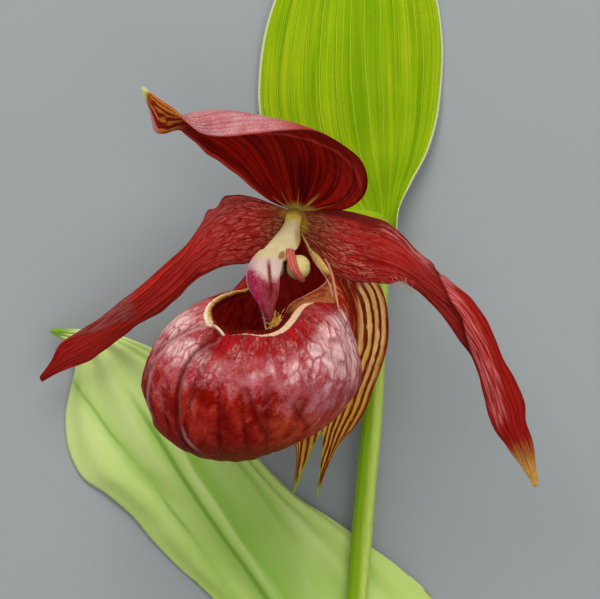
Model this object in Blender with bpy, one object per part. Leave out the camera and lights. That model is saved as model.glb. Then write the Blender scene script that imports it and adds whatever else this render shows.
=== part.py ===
"""Slipper orchid: one picked stem in flower, lying on its back.

The cut end of the stem points to -Y, the bract to +Y, and the flower faces up.
Every blade is a smooth surface through rows of points that run from its base to its tip.
"""
import math

import bpy
import numpy as np

MM = 0.001

# How thick the pieces are, in mm
LEAF_THICKNESS = 0.8
SEPAL_THICKNESS = 0.75
PETAL_THICKNESS = 0.75
LIP_THICKNESS = 0.8
STAMINODE_THICKNESS = 0.7
FILAMENT_THICKNESS = 0.75

# Pleats of the two leaves, in mm and pleats over the whole width
LEAF_PLEAT_DEPTH = 0.45
LEAF_PLEATS = 5
BRACT_PLEAT_DEPTH = 0.25
BRACT_PLEATS = 6

# Ribs of the lip: share of the way round the rim, depth in mm (less than 0 is a ridge), width as a share
LIP_RIBS = (
    (0.042, 0.60, 0.018),
    (0.100, -0.50, 0.018),
    (0.160, 0.25, 0.018),
    (0.000, 0.20, 0.018),
    (0.945, 0.30, 0.018),
    (0.890, 0.25, 0.018),
    (0.830, 0.20, 0.018),
)
# How far the ribs drift back on their way down, as a share
LIP_RIB_DRIFT = 0.05
LIP_FRONT_DEPTH = 19.0
LIP_BACK_DEPTH = 16.5
LIP_AXIS = (0.08, 0.70, 0.71)
LIP_CREST_LIFT = 1.5

ANTHER_RADIUS = 2.1
CUT_FLAT_LENGTH = 9.0

# Stem axis from the cut end to the node under the flower: x, y, z, radius.
STEM_PATH = (
    (9.8, -107.1, 2.0, 2.15),
    (10.2, -101.2, 2.0, 2.15),
    (10.8, -96.1, 2.6, 2.15),
    (11.5, -90.2, 4.3, 2.15),
    (12.1, -84.2, 5.4, 2.15),
    (13.0, -71.6, 6.6, 2.15),
    (13.7, -60.0, 7.6, 2.15),
    (14.7, -47.1, 8.3, 2.15),
    (16.5, -24.3, 8.2, 2.12),
    (17.9, -8.5, 7.8, 2.1),
    (19.1, 14.8, 7.3, 2.05),
    (19.5, 21.4, 7.2, 2.1),
    (19.8, 24.8, 7.3, 2.4),
    (19.7, 26.2, 7.8, 2.2),
)

# Ovary axis from the node to the receptacle: x, y, z, radius.
OVARY_PATH = (
    (19.7, 27.3, 9.0, 1.8),
    (19.6, 28.6, 11.0, 2.3),
    (18.8, 29.6, 14.0, 2.75),
    (16.7, 30.2, 16.8, 2.95),
    (13.7, 30.4, 19.2, 3),
    (10.7, 30.6, 21.2, 2.8),
    (7.8, 31.0, 23.0, 2.45),
    (4.9, 31.3, 24.8, 2.15),
    (2.9, 31.6, 26.3, 2.2),
    (1.9, 31.7, 27.6, 1.8),
)

# Column axis: x, y, z, half width, half depth.
COLUMN_PATH = (
    (1.8, 31.0, 30.6, 1.3, 1),
    (1.4, 29.4, 32.2, 1.6, 1.1),
    (0.6, 27.4, 34.6, 2.4, 1.25),
    (-0.7, 25.5, 36.4, 2.9, 1.25),
    (-1.9, 24.5, 37.6, 2.2, 0.8),
)

# Stigma axis: x, y, z, radius.
STIGMA_PATH = (
    (0.3, 23.6, 34.0, 0.5),
    (0.4, 22.4, 33.3, 0.55),
    (0.3, 21.2, 33.0, 0.9),
    (0.1, 20.2, 33.0, 1.1),
)

# Rows of a blade: left margin, midrib and right margin as x, y, z in mm, then how far
# the left and the right half bow out, as the sagitta over half the chord.
# Leaf, from the sheath round the stem to the tip.
LEAF_ROWS = (
    (11.3, -87.5, 8.7, 11.9, -88.5, 1.5, 12.4, -87.5, 8.7, -0.95, -0.95),
    (11.5, -82.7, 9.3, 12.3, -83.7, 1.6, 13.0, -82.7, 9.3, -0.95, -0.95),
    (10.6, -78.1, 9.6, 12.6, -78.6, 1.9, 14.5, -78.1, 9.6, -0.85, -0.85),
    (6.2, -72.2, 8.5, 12.7, -72.5, 2.4, 20.4, -71.6, 8.0, -0.45, -0.45),
    (-0.6, -65.5, 5.0, 11.9, -66.0, 2.7, 28.0, -63.3, 4.0, -0.2, -0.25),
    (-7.5, -58.0, 3.0, 10.0, -58.7, 4.0, 32.3, -55.0, 1.2, 0.05, 0.05),
    (-12.6, -50.8, 1.6, 7.5, -51.6, 4.7, 30.6, -47.8, 0.5, 0.1, 0.1),
    (-17.4, -45.8, 0.9, 4.6, -44.4, 5.7, 23.9, -41.4, 1.8, 0.12, 0.1),
    (-22.9, -41.0, 0.7, 1.5, -37.6, 7.4, 16.3, -35.8, 3.2, 0.12, 0.1),
    (-27.9, -35.8, 0.9, -2.3, -31.5, 8.2, 9.2, -30.7, 4.2, 0.12, 0.1),
    (-32.5, -30.3, 1.2, -6.2, -25.5, 8.8, 2.7, -26.5, 5.4, 0.12, 0.1),
    (-38.0, -25.7, 1.0, -10.6, -19.6, 9.2, -2.9, -21.4, 6.2, 0.12, 0.1),
    (-42.8, -22.4, 0.6, -15.1, -13.8, 9.4, -7.1, -16.4, 7.0, 0.12, 0.1),
    (-45.7, -16.7, 0.4, -19.9, -8.0, 9.4, -10.8, -10.2, 7.0, 0.12, 0.1),
    (-46.4, -10.0, 0.6, -25.1, -2.6, 9.2, -15.4, -3.9, 7.0, 0.12, 0.1),
    (-45.3, -4.3, 1.6, -30.3, 2.1, 8.6, -22.0, 1.9, 7.0, 0.1, 0.1),
    (-44.1, 0.6, 3.0, -35.5, 5.6, 7.5, -30.4, 5.8, 6.6, 0.05, 0.05),
    (-44.7, 5.0, 4.0, -40.4, 7.7, 5.8, -37.5, 8.1, 6.0, 0, 0),
    (-49.1, 7.9, 4.0, -49.1, 8.4, 4.2, -49.0, 8.9, 4.0, 0, 0),
)

# Leafy bract, from the node to the tip.
BRACT_ROWS = (
    (16.4, 25.6, 7.6, 19.8, 25.6, 4.0, 23.1, 25.6, 7.6, -0.5, -0.5),
    (16.3, 28.1, 8.8, 19.8, 27.9, 3.6, 22.9, 28.5, 8.8, -0.48, -0.48),
    (13.7, 32.3, 7.0, 19.2, 30.9, 3.4, 23.5, 33.7, 6.8, -0.28, -0.28),
    (6.7, 36.5, 4.0, 18.2, 35.5, 4.0, 26.3, 39.6, 4.5, -0.1, -0.1),
    (-0.2, 42.4, 2.5, 16.5, 40.6, 5.2, 29.5, 45.7, 3.0, 0.05, 0.05),
    (-4.0, 48.3, 1.8, 15.0, 46.6, 6.2, 31.6, 52.5, 1.6, 0.08, 0.08),
    (-5.7, 55.0, 1.5, 13.9, 53.7, 7.2, 32.6, 59.7, 0.8, 0.1, 0.1),
    (-5.7, 61.9, 1.5, 13.3, 61.1, 7.8, 33.0, 66.8, 0.5, 0.1, 0.1),
    (-4.8, 69.2, 1.8, 13.3, 68.8, 8.0, 32.5, 73.5, 0.5, 0.1, 0.1),
    (-3.0, 75.9, 2.0, 13.5, 76.3, 7.6, 31.2, 79.8, 0.8, 0.1, 0.1),
    (0, 83.5, 2.0, 13.7, 83.5, 6.6, 28.3, 86.5, 1.5, 0.1, 0.1),
    (3.7, 90.6, 1.8, 13.8, 90.7, 5.2, 24.1, 92.7, 1.8, 0.08, 0.08),
    (7.7, 96.9, 1.4, 13.4, 97.3, 3.6, 19.5, 98.4, 1.6, 0.05, 0.05),
    (10.9, 102.0, 1.0, 13.0, 102.3, 1.8, 15.3, 102.9, 1.0, 0, 0),
    (11.8, 106.9, 0.6, 12.4, 107.1, 0.6, 12.9, 106.9, 0.6, 0, 0),
)

# Dorsal sepal: a hood that arches over the lip and twists at its tip.
DORSAL_ROWS = (
    (0.9, 33.1, 28.4, 2.1, 33.0, 29.2, 3.5, 32.8, 29.6, 0, 0),
    (-1.3, 34.0, 27.5, 1.7, 35.1, 30.5, 7.7, 32.7, 32.0, -0.12, -0.16),
    (-4.0, 35.4, 27.0, 1.1, 38.5, 33.0, 12.3, 33.0, 36.0, -0.15, -0.2),
    (-6.6, 37.4, 27.0, 0.5, 41.7, 36.0, 15.4, 35.2, 40.0, -0.16, -0.22),
    (-9.0, 39.4, 27.5, -0.3, 44.8, 39.0, 16.5, 38.5, 44.0, -0.18, -0.2),
    (-11.4, 41.2, 28.5, -1.6, 47.3, 42.0, 14.9, 42.3, 48.0, -0.2, -0.16),
    (-13.6, 42.9, 30.0, -3.8, 49.1, 44.5, 10.7, 45.4, 51.5, -0.2, -0.12),
    (-15.6, 44.3, 31.5, -6.5, 50.5, 46.8, 5.4, 47.6, 54.0, -0.2, -0.1),
    (-17.1, 45.6, 33.0, -9.6, 51.5, 48.5, -0.6, 47.7, 55.0, -0.18, -0.12),
    (-18.7, 46.8, 34.5, -13.0, 51.8, 49.5, -6.4, 47.1, 55.0, -0.18, -0.16),
    (-19.9, 47.7, 36.0, -15.7, 51.6, 50.0, -11.9, 46.6, 54.0, -0.18, -0.18),
    (-21.0, 48.5, 38.0, -18.0, 51.1, 50.0, -16.2, 47.3, 52.0, -0.15, -0.15),
    (-22.3, 48.3, 41.0, -20.4, 50.8, 50.0, -19.3, 49.9, 51.0, -0.12, -0.08),
    (-24.1, 47.7, 44.0, -22.5, 51.4, 49.5, -21.7, 52.2, 50.5, -0.12, 0),
    (-25.8, 48.1, 46.0, -24.5, 52.6, 49.0, -23.9, 53.6, 50.0, -0.25, 0),
    (-26.6, 51.7, 47.0, -26.1, 54.2, 48.5, -25.6, 54.8, 49.0, -0.1, 0),
    (-28.3, 56.3, 48.0, -28.1, 56.6, 48.0, -27.6, 56.6, 48.0, 0, 0),
)

# Left petal, drooping and half turned near its tip.
PETAL_LEFT_ROWS = (
    (-1.1, 30.0, 26.8, -1.0, 31.2, 27.3, -0.9, 32.3, 27.4, 0, 0),
    (-3.2, 27.4, 26.2, -3.8, 30.9, 28.4, -4.0, 34.3, 28.4, 0.06, 0.06),
    (-5.7, 24.8, 25.8, -6.6, 29.9, 28.8, -7.2, 35.6, 28.6, 0.08, 0.08),
    (-8.2, 22.1, 26.0, -10.0, 28.9, 28.5, -10.8, 35.9, 28.0, 0.08, 0.08),
    (-12.1, 21.7, 25.0, -13.9, 27.1, 27.0, -14.9, 33.6, 26.5, 0.08, 0.08),
    (-16.0, 20.3, 23.0, -17.6, 24.7, 25.5, -17.0, 30.6, 25.5, 0.1, 0.1),
    (-19.3, 17.9, 21.5, -21.1, 21.3, 24.0, -20.3, 25.9, 25.0, 0.12, 0.12),
    (-23.0, 14.4, 20.0, -25.4, 17.4, 22.5, -24.7, 22.0, 24.0, 0.14, 0.14),
    (-27.8, 11.1, 18.5, -29.7, 13.8, 21.0, -29.4, 17.8, 22.5, 0.14, 0.14),
    (-32.4, 8.2, 17.0, -34.1, 10.7, 19.5, -33.9, 14.4, 20.5, 0.12, 0.12),
    (-37.2, 4.5, 15.0, -38.1, 7.6, 17.5, -38.4, 10.9, 18.5, 0.1, 0.1),
    (-41.0, 1.9, 13.0, -41.9, 5.1, 15.0, -42.7, 8.3, 16.0, 0.05, 0.05),
    (-44.6, 0.8, 11.5, -45.4, 3.1, 13.0, -46.6, 5.7, 13.5, -0.03, 0),
    (-47.5, -0.5, 11.0, -47.9, 0.9, 11.5, -48.6, 2.2, 11.5, 0, 0),
    (-50.5, -2.1, 10.0, -50.8, -1.6, 10.0, -50.9, -1.1, 10.0, 0, 0),
)

# Right petal, spreading and then hanging.
PETAL_RIGHT_ROWS = (
    (5.1, 32.3, 29.0, 5.1, 30.7, 29.0, 4.9, 28.9, 28.5, 0, 0),
    (8.9, 32.5, 30.6, 7.9, 29.1, 31.0, 6.7, 25.7, 29.6, 0.04, 0.04),
    (12.9, 32.1, 32.8, 11.5, 26.8, 33.9, 9.9, 21.2, 31.2, 0.06, 0.05),
    (16.9, 31.4, 35.0, 15.5, 25.4, 36.6, 13.9, 19.3, 34.0, 0.06, 0.05),
    (20.5, 30.2, 36.5, 19.0, 24.3, 38.8, 17.5, 18.2, 37.0, 0.06, 0.05),
    (23.8, 27.5, 37.5, 22.2, 22.9, 39.8, 20.6, 18.0, 38.5, 0.06, 0.05),
    (26.6, 24.3, 38.0, 25.0, 20.9, 40.0, 23.0, 18.5, 39.0, 0.06, 0.05),
    (30.0, 21.2, 38.5, 27.9, 18.6, 40.0, 25.5, 17.0, 39.0, 0.06, 0.05),
    (33.2, 18.3, 38.5, 30.9, 16.2, 40.0, 28.4, 14.6, 38.5, 0.06, 0.05),
    (36.6, 15.6, 38.0, 34.1, 13.4, 39.5, 31.4, 11.4, 38.0, 0.06, 0.06),
    (39.4, 12.0, 37.5, 36.9, 9.4, 39.0, 34.2, 7.5, 37.0, 0.06, 0.06),
    (41.6, 7.6, 37.0, 39.4, 5.4, 38.0, 36.9, 3.6, 36.0, 0.06, 0.06),
    (43.7, 2.8, 36.5, 41.4, 1.0, 37.0, 38.7, -0.6, 35.0, 0.06, 0.06),
    (46.0, -1.2, 35.5, 43.1, -3.2, 36.0, 39.7, -4.4, 34.0, 0.06, 0.06),
    (47.9, -5.8, 34.5, 44.7, -7.2, 35.0, 40.7, -8.3, 33.0, 0.05, 0.05),
    (48.2, -9.5, 33.5, 45.6, -10.8, 34.0, 42.0, -11.5, 32.5, 0.05, 0.05),
    (49.7, -13.5, 32.5, 47.4, -14.5, 33.0, 44.3, -14.5, 32.0, 0.03, 0.03),
    (50.3, -18.0, 31.5, 48.9, -18.2, 31.5, 46.9, -18.0, 31.0, 0, 0),
    (50.9, -22.6, 30.5, 50.4, -22.8, 30.5, 49.9, -22.5, 30.5, 0, 0),
)

# Staminode, the folded shield over the column.
STAMINODE_ROWS = (
    (-1.3, 23.0, 38.4, -3.2, 23.2, 39.4, -5.2, 23.4, 38.4, 0.1, 0.1),
    (-0.6, 22.3, 39.2, -3.1, 22.3, 39.8, -6.8, 22.7, 38.8, 0.15, 0.25),
    (-0.7, 21.0, 40.2, -3.1, 21.0, 40.6, -7.5, 21.2, 39.4, 0.2, 0.3),
    (-1.1, 19.4, 41.2, -3.0, 19.3, 41.4, -7.8, 19.3, 40.0, 0.2, 0.32),
    (-1.2, 17.8, 42.2, -2.9, 17.4, 42.4, -7.5, 17.5, 40.8, 0.2, 0.32),
    (-1.4, 16.0, 43.2, -2.9, 15.4, 43.4, -6.5, 15.8, 42.0, 0.15, 0.28),
    (-1.7, 14.2, 44.2, -3.0, 13.4, 44.4, -5.3, 13.8, 43.4, 0.1, 0.2),
    (-2.1, 12.4, 44.8, -3.1, 11.8, 45.0, -4.1, 11.9, 44.6, 0.05, 0.1),
    (-2.6, 10.8, 45.2, -3.1, 10.5, 45.2, -3.6, 10.8, 45.2, 0, 0),
)

# Right filament, the strap over the anther.
FILAMENT_ROWS = (
    (1.9, 23.8, 38.2, 1.2, 23.7, 38.4, 0.5, 23.6, 38.2, 0.1, 0.1),
    (2.3, 22.9, 38.9, 1.5, 22.6, 39.3, 0.7, 22.3, 39.0, 0.1, 0.1),
    (2.9, 21.5, 39.3, 2.2, 21.2, 39.9, 1.4, 20.9, 39.6, 0.1, 0.1),
    (3.6, 20.2, 38.6, 3.0, 19.8, 39.2, 2.3, 19.5, 38.9, 0.1, 0.1),
    (4.0, 19.3, 37.8, 3.6, 18.9, 38.2, 3.2, 18.7, 38.0, 0.1, 0.1),
)

# Synsepal, five points a row from one margin to the other; it ends in two tips.
SYNSEPAL_ROWS = (
    (4.7, 28.2, 24.0, 3.9, 28.2, 23.6, 3.0, 28.2, 23.4, 2.2, 28.3, 23.5, 1.4, 28.5, 23.9),
    (8.6, 26.0, 21.3, 6.8, 25.4, 20.2, 4.5, 25.0, 19.7, 2.3, 25.4, 20.0, 0.1, 26.2, 20.8),
    (13.3, 23.0, 19.6, 10.5, 22.2, 17.8, 7.0, 21.8, 17.0, 2.9, 22.4, 17.5, -1.4, 23.6, 19.0),
    (17.6, 19.9, 19.0, 13.6, 18.5, 16.8, 8.7, 17.7, 15.5, 2.9, 18.1, 16.2, -3.2, 19.5, 18.0),
    (20.1, 15.8, 18.5, 15.7, 14.6, 15.8, 9.7, 13.5, 14.6, 2.9, 13.8, 15.3, -4.5, 14.6, 17.2),
    (21.0, 10.7, 18.0, 16.3, 9.8, 15.0, 10.1, 9.0, 14.2, 3.1, 9.0, 14.6, -4.9, 9.4, 16.5),
    (20.8, 5.6, 17.7, 16.1, 4.9, 14.8, 10.1, 4.5, 14.0, 3.3, 4.3, 14.4, -4.5, 4.3, 16.2),
    (19.5, 0.8, 17.4, 14.8, 0.2, 14.8, 9.6, 0.2, 14.2, 3.5, -0.5, 14.4, -3.3, -0.4, 16.0),
    (17.9, -3.5, 17.0, 13.4, -4.1, 15.0, 9.0, -3.7, 14.6, 3.6, -5.0, 14.6, -1.6, -4.9, 16.0),
    (16.3, -7.8, 16.6, 11.8, -8.5, 15.0, 8.5, -7.0, 15.0, 3.6, -9.1, 14.8, -0.2, -9.1, 15.8),
    (14.0, -11.5, 16.2, 10.1, -12.8, 15.2, 8.1, -9.4, 15.3, 3.5, -13.0, 14.8, 1.1, -13.0, 15.6),
    (10.9, -14.8, 15.8, 8.7, -17.3, 15.2, 7.7, -11.1, 15.5, 3.0, -17.1, 14.8, 2.2, -16.5, 15.2),
    (8.7, -19.1, 15.3, 7.2, -21.6, 15.0, 7.5, -12.1, 15.5, 2.4, -21.0, 14.8, 2.2, -20.4, 15.0),
    (6.8, -24.5, 15.0, 6.4, -24.9, 15.0, 7.4, -12.6, 15.5, 2.0, -24.3, 15.0, 1.7, -24.0, 15.0),
)

# Lip rim, right round: a point of its crest and the point of the inner margin beside it.
LIP_RIM = (
    (-10.2, 8.1, 58.0, -9.9, 8.9, 52.2),
    (-12.5, 9.0, 57.0, -11.8, 9.7, 51.2),
    (-14.5, 10.3, 55.0, -13.7, 11.0, 49.7),
    (-15.4, 12.3, 52.0, -14.5, 12.3, 47.0),
    (-14.8, 14.1, 48.5, -14.1, 13.7, 44.5),
    (-13.0, 15.6, 45.0, -12.4, 14.9, 41.5),
    (-10.3, 16.6, 41.5, -9.8, 15.8, 39.0),
    (-7.7, 17.1, 38.3, -7.2, 16.4, 36.8),
    (-6.8, 19.8, 35.0, -6.2, 19.1, 34.4),
    (-5.8, 22.2, 32.3, -5.4, 21.9, 32.1),
    (-4.2, 24.4, 30.9, -3.9, 24.2, 30.7),
    (-2.0, 26.7, 30.2, -1.8, 26.5, 30.0),
    (0, 28.5, 29.4, 0.1, 28.3, 29.3),
    (1.2, 29.2, 29.0, 1.2, 29.0, 28.9),
    (2.5, 29.1, 29.0, 2.4, 28.9, 28.9),
    (3.9, 27.3, 30.7, 3.6, 26.8, 30.5),
    (5.1, 25.1, 33.4, 4.6, 24.5, 33.2),
    (6.9, 23.4, 36.6, 5.7, 22.4, 36.3),
    (8.6, 21.0, 39.8, 7.1, 20.4, 39.2),
    (9.7, 18.4, 42.5, 8.1, 18.7, 41.6),
    (10.4, 15.8, 45.0, 6.7, 17.3, 43.2),
    (9.8, 14.3, 47.5, 5.1, 16.4, 44.5),
    (7.9, 14.3, 50.0, 3.5, 15.5, 45.5),
    (5.6, 14.3, 52.5, 1.9, 14.7, 46.5),
    (3.6, 13.6, 54.5, 0.7, 13.7, 47.5),
    (2.2, 12.1, 56.0, 0, 12.4, 48.5),
    (0.9, 10.3, 57.0, -0.6, 11.0, 49.7),
    (-1.2, 8.6, 58.0, -1.8, 9.6, 51.5),
    (-4.2, 7.9, 59.0, -4.2, 8.9, 52.3),
    (-7.3, 8.2, 59.0, -7.1, 9.0, 52.4),
)

LIP_CENTRE = (-7.0, -1.1, 39.0)
# Half width of the lip seen from above, every 15 degrees from +X, in mm
LIP_OUTLINE = (22.0, 22.3, 22.3, 20.8, 19.3, 18.5, 18.3, 18.5, 18.8, 19.4, 20.3, 21.4,
               22.3, 21.7, 21.1, 20.0, 18.0, 16.8, 16.0, 15.3, 15.3, 16.3, 17.8, 19.9)

ANTHER_RIGHT = (2.6, 21.3, 36.8)
# The flower's plane of symmetry: a point of it and the direction square to it
SYMMETRY_POINT = (-1.1, 24.8, 36.5)
SYMMETRY_NORMAL = (0.86, 0.0, 0.5)
# How far the left stamen leans in from its mirrored place, in mm
LEFT_STAMEN_LEAN = (0.6, 0.0, 0.9)


def unit(vectors):
    """The vectors at length one."""
    length = np.linalg.norm(vectors, axis=-1, keepdims=True)
    return vectors / np.maximum(length, 1e-9)


def spline(values, at, closed=False):
    """Catmull-Rom curve through evenly keyed values, read at 0..1."""
    values = np.asarray(values, float)
    count = len(values)
    if closed:
        place = (np.asarray(at) % 1.0) * count
        key = np.floor(place).astype(int) % count
        step = place - np.floor(place)
        before, start, end, after = [values[(key + k) % count] for k in (-1, 0, 1, 2)]
    else:
        place = np.asarray(at) * (count - 1)
        key = np.clip(np.floor(place).astype(int), 0, count - 2)
        step = place - key
        first = 2 * values[0] - values[1]
        last = 2 * values[-1] - values[-2]
        padded = np.concatenate([[first], values, [last]])
        before, start, end, after = [padded[key + k] for k in (0, 1, 2, 3)]
    if values.ndim > 1:
        step = step.reshape(step.shape + (1,) * (values.ndim - 1))
    linear = end - before
    square = 2 * before - 5 * start + 4 * end - after
    cube = 3 * start - before - 3 * end + after
    return 0.5 * (2 * start + linear * step + square * step**2 + cube * step**3)


def even_keys(points, count, closed=False):
    """Keys that step evenly along the curve through the points."""
    fine = np.linspace(0, 1, 801)
    line = spline(points, fine if not closed else fine % 1.0, closed)
    steps = np.linalg.norm(np.diff(line, axis=0), axis=1)
    length = np.concatenate([[0], np.cumsum(steps)])
    share = np.arange(count) / count if closed else np.linspace(0, 1, count)
    return np.interp(share * length[-1], length, fine)


def arc(start, end, bow, normal, share):
    """Circular arc from start to end, bowed along the normal."""
    half = 2 * np.arctan(bow)
    half = np.where(np.abs(half) < 1e-4, 1e-4, half)[:, None]
    turn = (2 * share - 1) * half
    along = (1 + np.sin(turn) / np.sin(half)) / 2
    out = (np.cos(turn) - np.cos(half)) / (2 * np.sin(half))
    chord = end - start
    size = np.linalg.norm(chord, axis=1)[:, None]
    return start[:, None] + chord[:, None] * along[..., None] + (normal * size)[:, None] * out[..., None]


def blade_grid(rows, length_steps, half_steps):
    """Points of a blade: two arcs a row that meet at the midrib."""
    rows = np.asarray(rows, float)
    row = spline(rows, even_keys(rows[:, 3:6], length_steps + 1))
    left, mid, right = row[:, 0:3], row[:, 3:6], row[:, 6:9]
    left_way = unit(np.gradient((left + mid) / 2, axis=0))
    right_way = unit(np.gradient((right + mid) / 2, axis=0))
    share = np.linspace(0, 1, half_steps + 1)[None]
    left_arc = arc(left, mid, row[:, 9], unit(np.cross(mid - left, left_way)), share)
    right_arc = arc(mid, right, row[:, 10], unit(np.cross(right - mid, right_way)), share)
    return np.concatenate([left_arc, right_arc[:, 1:]], 1)


def soft_grid(rows, length_steps, half_steps):
    """Points of a blade whose two halves run smoothly into each other."""
    knots = blade_grid(rows, length_steps, 2)
    share = np.linspace(0, 1, 2 * half_steps + 1)
    return across(knots, share)


def across(knots, share):
    """Smooth curves through the knots of each row."""
    return spline(np.moveaxis(knots, 1, 0), share).transpose(1, 0, 2)


def grid_normals(grid):
    """Unit normals of a grid of points."""
    return unit(np.cross(np.gradient(grid, axis=1), np.gradient(grid, axis=0)))


def pleated(grid, depth, count):
    """The grid with pleats along it, fading out at the base, the tip and the margins."""
    rows, columns = grid.shape[:2]
    along = np.linspace(0, 1, rows)[:, None]
    side = np.linspace(-1, 1, columns)[None]
    fade = np.clip((along - 0.22) / 0.15, 0, 1) * np.clip((1 - along) / 0.15, 0, 1)
    wave = np.cos(math.pi * count * side) * np.clip((1 - np.abs(side)) / 0.2, 0, 1)
    return grid + grid_normals(grid) * (depth * fade * wave)[..., None]


def triangles(rows, columns, closed=False):
    """Triangles of a grid of points, row after row; a closed grid joins its last column to its first."""
    last = columns if closed else columns - 1
    row, column = np.meshgrid(np.arange(rows - 1), np.arange(last), indexing="ij")
    following = (column + 1) % columns
    a = row * columns + column
    b = row * columns + following
    c = (row + 1) * columns + following
    d = (row + 1) * columns + column
    return np.concatenate([np.stack([a, b, c], -1).reshape(-1, 3), np.stack([a, c, d], -1).reshape(-1, 3)])


def material(name, colour, roughness):
    """One Principled material."""
    made = bpy.data.materials.new(name)
    made.use_nodes = True
    shader = made.node_tree.nodes["Principled BSDF"]
    shader.inputs["Base Color"].default_value = (*colour, 1.0)
    shader.inputs["Roughness"].default_value = roughness
    made.diffuse_color = (*colour, 1.0)
    return made


def solid(name, points, faces, look):
    """A named object from points in mm."""
    mesh = bpy.data.meshes.new(name)
    mesh.from_pydata((np.asarray(points) * MM).tolist(), [], np.asarray(faces).tolist())
    mesh.validate()
    mesh.update()
    mesh.polygons.foreach_set("use_smooth", [True] * len(mesh.polygons))
    made = bpy.data.objects.new(name, mesh)
    bpy.context.scene.collection.objects.link(made)
    if look:
        mesh.materials.append(look)
    return made


def sheet(name, grid, thickness, look, offset=0.0):
    """A blade: a grid of points given its thickness by a live modifier."""
    rows, columns = grid.shape[:2]
    made = solid(name, grid.reshape(-1, 3), triangles(rows, columns), look)
    thicken(made, thickness, offset)
    return made


def thicken(made, thickness, offset):
    """Live wall thickness, in mm."""
    wall = made.modifiers.new("wall", "SOLIDIFY")
    wall.thickness = thickness * MM
    wall.offset = offset
    wall.use_rim = True


def tube(name, path, steps, sides, look):
    """A closed round or flattened stalk along a path of x, y, z, half width and half depth."""
    path = np.asarray(path, float)
    if path.shape[1] == 4:
        path = np.hstack([path, path[:, 3:4]])
    ring = spline(path, even_keys(path[:, :3], steps + 1))
    axis = ring[:, :3]
    way = unit(np.gradient(axis, axis=0))
    reference = np.array([1.0, 0.0, 0.05])
    side = unit(reference - way * (way @ reference)[:, None])
    front = np.cross(way, side)
    turn = np.arange(sides) * 2 * math.pi / sides
    wide = side[:, None] * np.cos(turn)[None, :, None] * ring[:, 3, None, None]
    deep = front[:, None] * np.sin(turn)[None, :, None] * ring[:, 4, None, None]
    body = (axis[:, None] + wide + deep).reshape(-1, 3)
    faces = triangles(steps + 1, sides, closed=True)
    return capped(name, body, faces, axis, way, ring, steps, sides, look)


def capped(name, body, faces, axis, way, ring, steps, sides, look):
    """The stalk with a low cone on each end, so that both ends are closed."""
    foot = len(body)
    start = axis[0] - way[0] * 0.12 * ring[0, 4]
    end = axis[-1] + way[-1] * 0.12 * ring[-1, 4]
    points = np.vstack([body, start, end])
    here = np.arange(sides)
    following = (here + 1) % sides
    last = steps * sides
    low = np.stack([np.full(sides, foot), following, here], -1)
    high = np.stack([np.full(sides, foot + 1), last + here, last + following], -1)
    return solid(name, points, np.vstack([faces, low, high]), look)


def lip_radius(ways):
    """Distance of the pouch from its centre along each direction."""
    angle = np.arctan2(ways[..., 1], ways[..., 0]) / (2 * math.pi)
    outline = spline(LIP_OUTLINE, angle % 1.0, closed=True)
    depth = np.where(ways[..., 2] > 0, LIP_FRONT_DEPTH, LIP_BACK_DEPTH)
    level = np.hypot(ways[..., 0], ways[..., 1])
    return ((level / outline) ** 2.15 + np.abs(ways[..., 2] / depth) ** 2.15) ** (-1 / 2.15)


def lip_body(crest, rows):
    """Pouch from the crest of the rim down to its lowest point, one column for each crest point."""
    centre = np.array(LIP_CENTRE)
    axis = unit(np.array(LIP_AXIS))
    right = unit(np.array([1.0, 0.0, 0.0]) - axis * axis[0])
    up = np.cross(axis, right)
    reach = crest - centre
    size = np.linalg.norm(reach, axis=1)
    way = reach / size[:, None]
    fall = np.arccos(way @ axis)
    turn = np.unwrap(np.arctan2(way @ up, way @ right))
    share = np.arange(len(crest)) / len(crest)
    sense = np.sign(turn[-1] - turn[0])
    even = turn.mean() + sense * 2 * math.pi * (share - share.mean())
    down = np.linspace(0, 1, rows + 1)[:, None]
    turned = turn + (even - turn) * (1 - (1 - down) ** 2)
    fallen = fall + (math.pi - fall) * down
    flat = np.sin(fallen)
    ways = (flat * np.cos(turned))[..., None] * right + (flat * np.sin(turned))[..., None] * up
    ways = ways + np.cos(fallen)[..., None] * axis
    radius = lip_radius(ways)
    spare = size - radius[0]
    span = np.clip(0.30 + 0.018 * spare, 0.2, 0.7)
    near = np.clip(down / span, 0, 1)
    radius = radius + spare * (1 - near) ** 2 * (1 + 2 * near)
    radius = radius - lip_ribs(share, down)
    return centre + ways * radius[..., None]


def lip_ribs(share, down):
    """Depth of the ribs that run from the rim down to the lowest point."""
    depth = np.zeros((len(down), len(share)))
    fade = np.clip((down - 0.03) / 0.12, 0, 1) * np.clip((0.95 - down) / 0.2, 0, 1)
    for place, deep, wide in LIP_RIBS:
        off = (share + LIP_RIB_DRIFT * down - place + 0.5) % 1.0 - 0.5
        depth = depth + deep * fade * np.exp(-(off / wide) ** 2)
    return depth


def lip_flap(crest, inner, up, steps):
    """The inrolled rim, from the inner margin up over the crest."""
    across_way = (inner - crest) - up * ((inner - crest) * up).sum(1, keepdims=True)
    reach = np.linalg.norm(inner - crest, axis=1)[:, None]
    lift = np.minimum(LIP_CREST_LIFT, reach * 0.5)
    over = crest + up * lift
    beyond = crest + up * lift * 0.6 + unit(across_way) * np.minimum(2.0, reach * 0.5)
    v = np.linspace(1, 0, steps + 1)[:-1, None, None]
    return (1 - v)**3 * crest + 3 * v * (1 - v)**2 * over + 3 * v**2 * (1 - v) * beyond + v**3 * inner


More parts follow.
